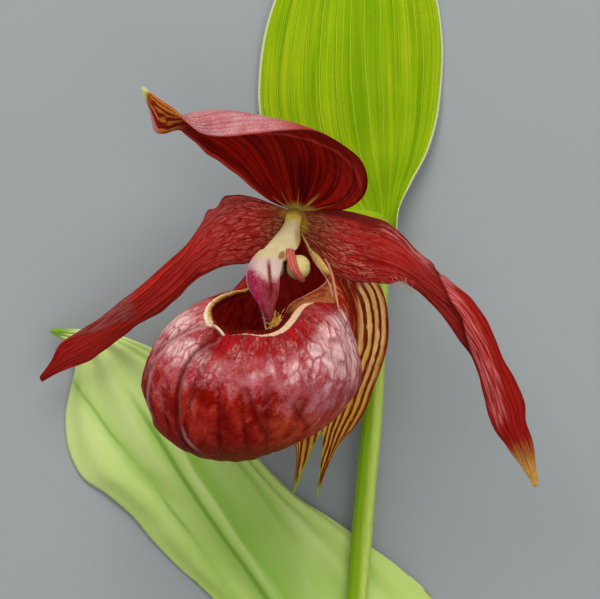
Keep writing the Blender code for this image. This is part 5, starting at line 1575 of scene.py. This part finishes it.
def lip_flap(crest, inner, up, steps):
    """The inrolled rim: a Bezier curve from the inner margin up over the crest."""
    across_way = (inner - crest) - up * ((inner - crest) * up).sum(1, keepdims=True)
    reach = np.linalg.norm(inner - crest, axis=1)[:, None]
    lift = np.minimum(LIP_CREST_LIFT, reach * 0.5)
    over = crest + up * lift
    beyond = crest + up * lift * 0.6 + unit(across_way) * np.minimum(2.0, reach * 0.5)
    v = np.linspace(1, 0, steps + 1)[:-1, None, None]
    return (1 - v)**3 * crest + 3 * v * (1 - v)**2 * over + 3 * v**2 * (1 - v) * beyond + v**3 * inner


def lip_wall(grid, pole, thickness):
    """Points and faces of the pouch: an outer face, an inner one a wall's thickness in, and their edge.

    The wall is thin at the mouth's margin and thickens quickly; a pole closes each face below.
    """
    count, columns = grid.shape[:2]
    wrapped = np.concatenate([grid[:, -2:], grid, grid[:, :2]], 1)
    normal = -grid_normals(wrapped)[:, 2:-2]
    centre = np.array(LIP_CENTRE)
    lower = slice(count // 2, count - 2)
    normal = normal * np.sign((normal[lower] * (grid[lower] - centre)).sum())
    normal[-2:] = unit(grid[-2:] - centre)
    step = np.linspace(0, 1, count)[:, None, None]
    wall = thickness * (0.35 + 0.65 * np.clip(step / 0.08, 0, 1))
    inner_pole = pole + unit(centre - pole) * thickness
    points = np.vstack([grid.reshape(-1, 3), pole, (grid - normal * wall).reshape(-1, 3), inner_pole])
    outer = quads(count, columns, closed=True)
    first = np.arange(columns)
    second = (first + 1) % columns
    lowest, total = (count - 1) * columns, count * columns
    cap = np.stack([first + lowest, second + lowest, np.full(columns, total)], -1)
    start = total + 1
    edge = np.stack([first, first + start, second + start, second], -1)
    faces = (outer[:, ::-1].tolist() + cap[:, ::-1].tolist() + (outer + start).tolist()
             + (cap + start).tolist() + edge.tolist())
    return points, faces


def lip_fields(grid, flap_steps, share, down):
    """Numbers kept on the pouch: distances from the rim, and where each finish lies."""
    steps = np.linalg.norm(np.diff(grid, axis=0), axis=2)
    length = np.concatenate([np.zeros((1, grid.shape[1])), np.cumsum(steps, axis=0)])
    rim = length - length[flap_steps]
    _, fold, dark, light = lip_folds(grid)
    height = grid[..., 2]
    front = rise(height, 22.0, 32.0)
    return {
        "rim": rim,
        "inner": length,
        "band": round_rim(share, RIM_BAND),
        "olive": round_rim(share, RIM_OLIVE),
        "brown": round_rim(share, RIM_BROWN),
        "vein": lip_lanes(share, down),
        "fold": fold,
        # Painted shade along the folds and painted highlight on their crests, outside the rim only
        "fold_painted_shade": dark * (rim > 0),
        "fold_painted_highlight": light * (rim > 0),
        "red": patches(grid, LIP_RED) * front * rise(rim, 9.0, 5.0),
        "pale": patches(grid, LIP_PALE_AND_HIGHLIGHT) * (0.35 + 0.65 * front),
        "pink": patches(grid, LIP_PINK_AND_SHEEN) * (0.5 + 0.5 * front),
        "back": rise(height, 34.0, 26.0) * rise(down, 0.5, 0.2),
        "ring": np.stack([np.cos(TURN * share), np.sin(TURN * share), down], -1),
    }


def mouth_colour(look, s, streak, mottle):
    """The rolled rim inside its crest: dark red at the back, a brown shelf, a yellow left margin."""
    ring, y = look.ring(), look.spot()[2]
    rim, inner, olive, brown = look.fields("rim", "inner", "olive", "brown")
    grub = look.noise(look.stretch(ring, (26.0, 26.0, 3.0))).fade(0.45, 0.75)
    shelf = (mottle + (inner - 2.0) * 0.08 + (streak - 0.5) * 0.6).fade(0.70, 0.35)
    lobe = look.mix((0.66, 0.46, 0.13), (0.30, 0.04, 0.015), (inner + (mottle - 0.5) * 0.6).fade(1.6, 2.6))
    shelf = look.mix(look.mix((0.40, 0.13, 0.035), (0.22, 0.030, 0.012), shelf), lobe, y.fade(19.6, 21.2))
    inward = (look.noise(look.stretch(ring, (30.0, 30.0, 2.0))) - 0.5) * 3.2 - rim
    yellow = look.paint(
        (0.62, 0.46, 0.13),
        ((0.44, 0.16, 0.02), inward.fade(0.3, 1.3)),
        (dim(s.inside, 0.6), inward.fade(1.0, 2.6)))
    return look.paint(
        dim(s.inside, 0.35),
        (s.inside, grub * 0.5),
        (shelf, brown),
        ((0.50, 0.19, 0.15), inner.fade(0.36, 0.18) * brown * 0.9),
        (yellow, olive))


def lip_look(s):
    """The pouch: deep red below, darker still at the bottom by painted shade; pink and white smudges above,
    partly its own colour and partly painted sheen and highlight; a soft red net, a cream rim.
    """
    look = tissue("glossy pouch", 0.10, (1.0, 0.35, 0.25), Specular_IOR_Level=0.02)
    spot, x, y = look.spot()
    ring = look.ring()
    rim, band, olive, brown = look.fields("rim", "band", "olive", "brown")
    vein, fold, flush, cheek = look.fields("vein", "fold", "red", "pale")
    cell = look.jitter(look.stretch(ring, (9.5, 9.5, 14.0)), 1.0, 1.1)
    web, tone = look.net(cell), look.cells(cell)
    mesh = look.net(look.jitter(look.stretch(ring, (26.0, 26.0, 46.0)), 1.5, 1.1))
    mottle, fine, grain = [look.noise(spot, scale, 3.0) for scale in (0.75, 2.4, 6.0)]
    streak = look.noise(look.stretch(ring, (16.0, 16.0, 27.0)), 1.0, 3.0)
    smudge = look.noise(look.jitter(look.stretch(ring, (9.5, 9.5, 15.0)), 2.0, 0.6), 1.0, 3.0, 0.6)
    patch = look.noise(look.stretch(ring, (5.0, 5.0, 7.0)), 1.3)
    fleck = smudge * 0.50 + streak * 0.32 + fine * 0.18
    line = (web + (fine - 0.5) * 0.08).fade(0.17, 0.0) * (patch + (fine - 0.5) * 0.6).fade(0.20, 0.55)
    thread = mesh.fade(0.30, 0.02) * (fine + (smudge - 0.5) * 0.6).fade(0.30, 0.60)
    lane = vein ** 9.0 * streak.fade(0.25, 0.60)

    ember = look.patch(5.0, -8.5, 20, 13.0, 6.0) * (fleck + 0.2).fade(0.55, 0.85)
    deep = look.paint(
        s.deep,
        (s.glow, (fleck + (patch - 0.5) * 0.6).fade(0.38, 0.64)),
        (dim(s.deep, 0.35), lane * 0.85),
        ((0.50, 0.10, 0.075), fleck.fade(0.54, 0.66) * y.fade(-14.0, -5.0) * 0.5),
        # Darker towards the bottom: painted shade
        (dim(s.deep, 0.45), y.fade(-4.0, -14.0) * 0.2),
        ((0.64, 0.070, 0.022), ember * 0.9),
        # Browner at the very bottom: painted shade
        ((0.15, 0.024, 0.004), y.fade(-12.0, -16.5) * 0.75))
    pink = look.paint(
        s.pink,
        (s.glow, fleck.fade(0.50, 0.38) * 0.7),
        ((0.60, 0.24, 0.25), fleck.fade(0.52, 0.64) * 0.5),
        (s.net, lane * 0.7))
    # The pink band: partly the pouch's own pink, partly painted sheen
    blush = (look.field("pink") + (fleck - 0.5) * 2.2 + (patch - 0.5) * 0.6).fade(0.25, 0.85)
    # White smudges: partly the pouch's own pale cells, partly painted highlight on its waxy skin
    pale = cheek + (fleck - 0.5) * 2.6 + (patch - 0.5) * 0.5 + (tone - 0.5) * 0.45
    white_and_highlight = look.mix((0.66, 0.27, 0.28), look.mix(s.white, (1.0, 0.56, 0.47), x.fade(11.0, 16.0)),
                    (cheek + (streak - 0.5) * 1.2).fade(0.35, 0.80))
    blaze = look.paint(
        s.red,
        ((0.66, 0.20, 0.18), (fleck + (patch - 0.5) * 0.3).fade(0.45, 0.62) * 0.85),
        ((0.17, 0.004, 0.006), thread.most(line * 0.7) * 0.85))
    # Darker red just under the rim
    dark_under_rim = rim.fade(3.4, 0.4) * flush.fade(0.1, 0.6) * (streak + (patch - 0.5) * 0.6).fade(0.42, 0.62)
    flank = look.patch(9.4, -8.8, 38, 8.5, 3.4) * (1.3 - tone * 0.6)
    back = look.paint(
        s.white,
        (s.net, (patch + (mottle - 0.5) * 0.6).fade(0.46, 0.60) * 0.75),
        (s.net, thread * 0.4))
    shoulder = ((x - 10.7) * 0.866 + (y - 12.9) * 0.5 + (streak - 0.5) * 0.4).fade(0.25, 0.70)
    shoulder = shoulder * x.fade(8.0, 9.5)
    # Painted shade in each fold, and painted highlight along its crest
    crease_shade = (fold.size() + (fine - 0.5) * 0.7 + (streak - 0.5) * 0.6).fade(1.25, 0.0)
    crest = ((fold - 0.50).size() + (fine - 0.5) * 0.5 + (streak - 0.5) * 0.5).fade(0.50, 0.0)
    cream = look.paint(
        s.cream,
        ((1.0, 0.86, 0.60), olive * 0.8),
        (s.olive, olive * (-rim).fade(-0.1, 0.4) * 0.7),
        ((0.58, 0.17, 0.13), fine.fade(0.50, 0.72) * 0.45))
    outside = look.paint(
        deep,
        (pink, blush),
        (white_and_highlight, pale.fade(0.15, 1.05) * cheek.fade(0.0, 0.3) * 0.94),
        (look.mix(s.net, (0.50, 0.06, 0.08), fine.fade(0.35, 0.6)),
         line * (cheek.fade(0.1, 0.6) * 0.75 + 0.12)),
        (s.net, thread * (flush + 0.25).fade(0.25, 0.6) * 0.45),
        (blaze, (flush + (fleck - 0.5) * 2.4).fade(0.32, 0.85)),
        ((0.15, 0.004, 0.008), dark_under_rim * 0.7),
        (look.mix((0.46, 0.050, 0.026), (0.60, 0.16, 0.11), fleck.fade(0.48, 0.62)),
         flank.fade(0.1, 0.9) * 0.75),
        (back, (look.field("back") + (mottle - 0.5) * 0.5).fade(0.3, 0.7)),
        (look.mix((0.34, 0.016, 0.006), (0.56, 0.20, 0.06), streak.fade(0.50, 0.66) * 0.7), shoulder),
        # Painted shade along the folds, then painted highlight along their crests
        ((0.13, 0.004, 0.003), crease_shade * streak.fade(0.10, 0.40) * look.field("fold_painted_shade")),
        ((0.66, 0.28, 0.26), crest * streak.fade(0.10, 0.45) * look.field("fold_painted_highlight") * 0.85),
        (mouth_colour(look, s, streak, mottle), (-rim).fade(0.0, 0.2)),
        (cream, (rim.size() - band + (mottle - 0.5) * 0.5 + 0.12).fade(0.16, -0.06)))
    colour = look.two_faced(look.mix(s.inside, s.glow, mottle.fade(0.5, 0.8) * 0.5), outside)
    bumps = grain * 0.3 + fleck * 1.2 + web.fade(0.0, 0.25) * 0.5 - thread * 0.4 - vein ** 6.0 * 1.2
    # Painted glow: an emission that lifts the inner walls out of the pouch's shade, standing in for light
    # through the thin wall
    walls = look.field("side").fade(0.55, 0.45) * (1.0 - brown * 0.3)
    through = look.mix(NO_LIGHT, (0.060, 0.002, 0.001), walls * streak.fade(0.25, 0.65))
    return look.finish(colour, 0.40 + grain * 0.2, bumps, 0.14, through)


def build_lip(s, columns=360, rows=118, flap_steps=14):
    """The pouch: a rolled rim and a body below it, with a wall; and what stands round its mouth."""
    rim = np.asarray(LIP_RIM, float)
    keys = even_keys(rim[:, :3], columns, closed=True)
    crest, inner = [spline(line, keys, closed=True) for line in (rim[:, :3], rim[:, 3:])]
    share = np.arange(columns) / columns
    place, width, move = LIP_NOTCH
    crest = crest + bell(share, place, width) * np.array(move)
    place, width, move = LIP_TUCK
    inner = inner + bell(share, place, width) * np.array(move)
    body = lip_body(crest, rows)
    flap = lip_flap(crest, inner, unit(body[0] - body[1]), flap_steps)
    grid = np.concatenate([flap, body[:-1]])
    points, faces = lip_wall(grid, body[-1].mean(0), s.thickness)
    share = share[None] + np.zeros((len(grid), 1))
    down = np.concatenate([np.zeros(flap_steps), np.linspace(0, 1, rows + 1)[:-1]])[:, None] + 0 * share
    fields = {}
    for field, values in lip_fields(grid, flap_steps, share, down).items():
        flat = values.reshape((-1,) + values.shape[2:])
        fields[field] = np.concatenate([flat, flat[-1:]] * 2)
    fields["side"] = np.repeat([1.0, 0.0], len(points) // 2)
    add_mesh("pouch", points, faces, fields, lip_look(s), "lip")
    build_mouth_hairs()


def build_mouth_hairs():
    """Two strands and a curled tooth at the mouth, and a tuft of hairs in two tones inside it."""
    strand = hair_look("lip strand", (0.62, 0.27, 0.16))
    for k, path in enumerate(LIP_STRANDS):
        tube(f"lip_strand_{k + 1}", path, 40, 8, strand, None)
    tube("lip_tooth", LIP_TOOTH, 30, 10, hair_look("lip tooth", (0.80, 0.55, 0.36)), None)
    count = 75
    draw = np.random.default_rng(31)
    spread = np.pad(draw.normal(0, 0.55, (2 * count, 2)), ((0, 0), (0, 1)))
    roots = np.array(TUFT_PLACE) + spread * np.array([1.3, 1.5, 0.0])
    ways = spread + np.array([0.0, 0.0, 1.0])
    # Each tone has a painted glow, an emission that lifts the tuft out of the pouch's shade
    for k, tone in enumerate(((0.70, 0.48, 0.10), (0.60, 0.30, 0.07))):
        hairs(f"pouch_tuft_{k + 1}", roots[k::2], ways[k::2], draw.uniform(0.6, 1.4, count), 0.17,
              hair_look(f"tuft {k + 1}", tone, dim(tone, 0.3)))


# ---------------------------------------------------------------- the heart of the flower


def knob(look):
    """The brown knob where the shield grows out of the column: its colour and its mask."""
    return (0.34, 0.20, 0.05), look.patch(-0.75, 23.7, 60, 1.2, 0.75).fade(0.1, 0.7)


def column_look(s):
    """Cream column, yellow-green at its foot, with a painted brown shadow on its right and a painted glow at
    its foot.
    """
    look = tissue("cream column", 0.2, (1.0, 0.8, 0.4), Roughness=0.4)
    spot = look.spot()[0]
    cloud, grain = look.noise(spot, 0.5, 3.0), look.noise(spot, 5.0)
    foot = (look.field("along") + (cloud - 0.5) * 0.3).fade(0.46, 0.02)
    colour = look.paint(
        s.cream,
        ((0.74, 0.62, 0.36), cloud.fade(0.3, 0.7)),
        ((0.58, 0.46, 0.10), foot.fade(0.1, 0.6)),
        ((0.30, 0.10, 0.015), foot.fade(0.55, 1.0) * 0.85),
        # Painted shadow on the column's right
        ((0.42, 0.24, 0.06), look.patch(2.6, 26.8, 100, 3.0, 0.9) * 0.7),
        knob(look))
    # Painted glow: an emission that lifts the foot out of the dorsal sepal's shade
    through = look.mix(NO_LIGHT, (0.11, 0.075, 0.008), foot.fade(0.0, 0.5) * foot.fade(1.1, 0.6))
    return look.finish(colour, 0.35 + grain * 0.15, grain, 0.05, through)


def shield_look(s):
    """Staminode: cream-white above, magenta at its left and below, wine red inside, a dark groove."""
    look = tissue("staminode", 0.12, (1.0, 0.4, 0.5), Roughness=0.38, Coat_Weight=0.1, Coat_Roughness=0.3)
    spot, x, y = look.spot()
    cloud, speck = look.noise(spot, 0.9, 3.0), look.noise(spot, 3.2)
    streak = look.noise(look.stretch(spot, (1.0, 0.25, 1.0)), 2.2)
    white = look.paint(
        s.shield_white,
        (s.cream, y.fade(22.4, 24.2)),
        ((0.60, 0.30, 0.36), look.patch(-6.6, 21.6, 80, 3.2, 1.2) * 0.5))
    left_edge = y + (cloud - 0.5) * 2.0 + (x + 5.0) * 0.7
    right_edge = y + (cloud - 0.5) * 1.6 + 0.8 - (x + 1.6).fade(0.0, 1.4) * 1.2
    blush = (left_edge + (right_edge - left_edge) * x.fade(-3.4, -2.8)).fade(21.0, 18.6)
    wine = look.mix((0.13, 0.004, 0.008), (0.27, 0.02, 0.03), streak.fade(0.3, 0.7))
    magenta = look.paint(
        s.shield_magenta,
        ((0.44, 0.07, 0.14), (speck * 0.5 + streak * 0.5).fade(0.42, 0.66) * 0.7),
        (wine, look.patch(-2.9, 14.6, 96, 6.6, 2.2).fade(0.0, 0.6)))
    dots = look.noise(spot, 4.5, 1.0).fade(0.60, 0.68) * x.fade(-4.0, -6.4)
    groove = (x + 3.25 + (y - 21.0) * 0.09).size().fade(0.65, 0.0) * y.fade(23.6, 21.2) * y.fade(15.0, 19.5)
    front = look.paint(
        white,
        (magenta, blush),
        (s.shield_magenta, dots * 0.7),
        ((0.22, 0.012, 0.010), groove),
        ((0.62, 0.38, 0.40), look.field("across").size().fade(0.90, 0.97) * y.fade(14.0, 17.0) * 0.6),
        knob(look))
    colour = look.two_faced(look.mix(s.shield_magenta, (0.2, 0.01, 0.02), 0.5), front)
    return look.finish(colour, 0.36 + speck * 0.15, speck * 0.6 + streak * 0.6, 0.08)


def stamen_look(s):
    """Anther yellow with a red strap over it."""
    look = tissue("anther and filament", 0.15, (1.0, 0.7, 0.3), Roughness=0.4)
    speck = look.noise(look.spot()[0], 2.0, 3.0)
    lane = (look.field("across") * 2.0).wave() * 0.55 + speck.fade(0.5, 0.7) * 0.35
    anther = look.mix(s.anther_yellow, (0.80, 0.70, 0.36), speck.fade(0.4, 0.7))
    ribbon = look.mix(s.filament_red, (0.66, 0.26, 0.19), lane)
    colour = look.mix(anther, ribbon, look.field("strap"))
    return look.finish(colour, 0.35 + speck * 0.15, speck, 0.05)


def mirrored(points):
    """Points on the other side of the flower's plane of symmetry."""
    normal = unit(np.array(SYMMETRY_NORMAL))
    off = (points - np.array(SYMMETRY_POINT)) @ normal
    return points - 2 * off[..., None] * normal


def ball_grid(centre, radius, rows, columns):
    """Points of a round anther with four shallow furrows, and its faces."""
    fall = np.linspace(0, math.pi, rows)[:, None]
    turn = (np.arange(columns) * TURN / columns)[None]
    furrow = 1 - 0.05 * np.maximum(0, np.cos(4 * turn)) ** 6 * np.sin(fall)
    ball = np.stack([np.sin(fall) * np.cos(turn), np.sin(fall) * np.sin(turn), np.cos(fall) + 0 * turn], -1)
    ball = ball * furrow[..., None] * radius * np.array([1.0, 1.05, 0.95])
    return (ball + np.array(centre)).reshape(-1, 3), quads(rows, columns, closed=True)[:, ::-1]


def build_stamen(name, centre, strap, node, look):
    """An anther with its strap, as one piece."""
    ball, ball_faces = ball_grid(centre, ANTHER_RADIUS, 28, 40)
    side = grid_places(strap)[1]
    ribbon, ribbon_faces = shell(strap, 0.3 * (1 - 0.7 * np.abs(side) ** 8))
    none = np.zeros(len(ball))
    fields = {
        "strap": np.concatenate([none, np.ones(len(ribbon))]),
        "across": np.concatenate([none, np.tile(side.ravel(), 2)]),
    }
    faces = np.vstack([ball_faces, ribbon_faces + len(ball)])
    add_mesh(name, np.vstack([ball, ribbon]), faces, fields, look, node, poles=True)


def build_heart(s):
    """Column, stigma, staminode with its keel groove and its fringe, and the two stamens."""
    loft("column_skin", COLUMN_FLARE, 70, 56, column_look(s), "column")
    # The stigma is dark brown-red: painted shade, for it sits in the shade deep in the flower's heart
    tube("stigma_skin", STIGMA_PATH, 30, 28, hair_look("stigma", (0.26, 0.10, 0.05)), "stigma")
    tube("shield_fringe", SHIELD_FRINGE, 60, 8, hair_look("staminode fringe", (0.62, 0.24, 0.30)), None)
    grid = soft_grid(STAMINODE_ROWS, 120, 30)
    along, side = grid_places(grid)
    fall = np.exp(-((side + 0.02) / 0.10) ** 2) * rise(along, 0.10, 0.22) * rise(along, 0.75, 0.5)
    grid = grid - np.array([0.0, 0.0, 0.45]) * fall[..., None]
    sheet("staminode_shield", grid, 0.55, shield_look(s), "staminode", "staminode")
    look = stamen_look(s)
    strap = soft_grid(FILAMENT_ROWS, 50, 10)
    build_stamen("stamen_right_form", ANTHER_RIGHT, strap, "stamen_right", look)
    lean = np.array(LEFT_STAMEN_LEAN)
    centre = mirrored(np.array(ANTHER_RIGHT)) + lean
    build_stamen("stamen_left_form", centre, mirrored(strap)[:, ::-1] + lean, "stamen_left", look)


# ---------------------------------------------------------------- stage


def area_light(name, place, aim, size, power, colour):
    """A square soft light that looks at a point; lengths in metres."""
    light = bpy.data.lights.new(name, "AREA")
    light.shape = "SQUARE"
    light.size = size
    light.energy = power
    light.color = colour
    made = bpy.data.objects.new(name, light)
    bpy.context.scene.collection.objects.link(made)
    made.location = place
    made.rotation_euler = (Vector(aim) - Vector(place)).to_track_quat("-Z", "Y").to_euler()


def build_stage(s):
    """Pale floor, soft lights, and a camera that looks straight down."""
    look = Look("pale floor", Roughness=0.9)
    look.finish(look.mix(s.floor, dim(s.floor, 0.95), look.noise(look.spot()[0], 0.01)))
    mesh = bpy.data.meshes.new("floor")
    size = 3.0
    corners = [(-size, -size, 0), (size, -size, 0), (size, size, 0), (-size, size, 0)]
    mesh.from_pydata(corners, [], [(0, 1, 2, 3)])
    mesh.materials.append(look.material)
    floor = bpy.data.objects.new("floor", mesh)
    scene = bpy.context.scene
    scene.collection.objects.link(floor)
    heart = dim(HEART, MM)
    area_light("key", (-0.10, 0.75, 0.75), heart, 0.8, s.key, (1.0, 0.985, 0.96))
    area_light("fill", (0.25, -0.10, 0.95), heart, 0.6, s.fill, (1.0, 1.0, 1.0))
    world = bpy.data.worlds.new("soft sky")
    world.use_nodes = True
    background = world.node_tree.nodes["Background"]
    background.inputs["Color"].default_value = (0.93, 0.97, 1.0, 1.0)
    background.inputs["Strength"].default_value = s.sky
    scene.world = world
    scene.view_settings.view_transform = "Standard"
    camera = bpy.data.objects.new("camera", bpy.data.cameras.new("camera"))
    camera.data.lens = 210.0
    camera.data.sensor_width = 36.0
    camera.data.clip_start = 0.01
    camera.location = dim(CAMERA, MM)
    scene.collection.objects.link(camera)
    scene.camera = camera


# ---------------------------------------------------------------- operators and panel


class AddStem(bpy.types.Operator):
    """Adds the stem with its hairs."""

    bl_idname = "orchid.stem"
    bl_label = "Stem"
    bl_options = {"REGISTER", "UNDO"}

    def execute(self, context):
        build_stem(context.scene.orchid_green)
        return {"FINISHED"}


class AddOvary(bpy.types.Operator):
    """Adds the ovary with its hairs."""

    bl_idname = "orchid.ovary"
    bl_label = "Ovary"
    bl_options = {"REGISTER", "UNDO"}

    def execute(self, context):
        build_ovary()
        return {"FINISHED"}


class AddLeaf(bpy.types.Operator):
    """Adds the pleated leaf."""

    bl_idname = "orchid.leaf"
    bl_label = "Leaf"
    bl_options = {"REGISTER", "UNDO"}

    def execute(self, context):
        build_leaf(context.scene.orchid_green)
        return {"FINISHED"}


class AddBract(bpy.types.Operator):
    """Adds the bract behind the flower."""

    bl_idname = "orchid.bract"
    bl_label = "Bract"
    bl_options = {"REGISTER", "UNDO"}

    def execute(self, context):
        build_bract(context.scene.orchid_green)
        return {"FINISHED"}


class AddHood(bpy.types.Operator):
    """Adds the dorsal sepal."""

    bl_idname = "orchid.hood"
    bl_label = "Dorsal sepal"
    bl_options = {"REGISTER", "UNDO"}

    def execute(self, context):
        build_hood(context.scene.orchid_sepals)
        return {"FINISHED"}


class AddPetals(bpy.types.Operator):
    """Adds the two petals."""

    bl_idname = "orchid.petals"
    bl_label = "Petals"
    bl_options = {"REGISTER", "UNDO"}

    def execute(self, context):
        build_petals(context.scene.orchid_sepals)
        return {"FINISHED"}


class AddSynsepal(bpy.types.Operator):
    """Adds the two lower sepals, grown as one."""

    bl_idname = "orchid.synsepal"
    bl_label = "Synsepal"
    bl_options = {"REGISTER", "UNDO"}

    def execute(self, context):
        build_synsepal(context.scene.orchid_sepals)
        return {"FINISHED"}


class AddLip(bpy.types.Operator):
    """Adds the pouch."""

    bl_idname = "orchid.lip"
    bl_label = "Lip"
    bl_options = {"REGISTER", "UNDO"}

    def execute(self, context):
        build_lip(context.scene.orchid_lip)
        return {"FINISHED"}


class AddHeart(bpy.types.Operator):
    """Adds the column, the staminode and the stamens."""

    bl_idname = "orchid.heart"
    bl_label = "Heart of the flower"
    bl_options = {"REGISTER", "UNDO"}

    def execute(self, context):
        build_heart(context.scene.orchid_heart)
        return {"FINISHED"}


class AddStage(bpy.types.Operator):
    """Adds the floor, the lights and the camera."""

    bl_idname = "orchid.stage"
    bl_label = "Stage"
    bl_options = {"REGISTER", "UNDO"}

    def execute(self, context):
        build_stage(context.scene.orchid_studio)
        return {"FINISHED"}


STEPS = (AddStem, AddOvary, AddLeaf, AddBract, AddHood, AddPetals, AddSynsepal, AddLip, AddHeart, AddStage)


class OrchidPanel(bpy.types.Panel):
    """Lists the steps and their settings."""

    bl_idname = "VIEW3D_PT_orchid"
    bl_label = "Slipper orchid"
    bl_space_type = "VIEW_3D"
    bl_region_type = "UI"
    bl_category = "Orchid"

    def draw(self, context):
        column = self.layout.column(align=True)
        for step in STEPS:
            column.operator(step.bl_idname)
        for group, kind in GROUPS.items():
            box = self.layout.box()
            box.label(text=kind.__doc__)
            for key in kind.__annotations__:
                box.prop(getattr(context.scene, group), key)


CLASSES = (*GROUPS.values(), *STEPS, OrchidPanel)


def register():
    """Registers the classes and hangs the settings on the scene."""
    for kind in CLASSES:
        bpy.utils.register_class(kind)
    for group, kind in GROUPS.items():
        setattr(bpy.types.Scene, group, PointerProperty(type=kind))


def unregister():
    """Takes the settings and the classes away."""
    for group in GROUPS:
        delattr(bpy.types.Scene, group)
    for kind in reversed(CLASSES):
        bpy.utils.unregister_class(kind)


def main():
    """Builds every piece and the stage."""
    register()
    for step in STEPS:
        group, action = step.bl_idname.split(".")
        getattr(getattr(bpy.ops, group), action)()


if __name__ == "__main__":
    main()
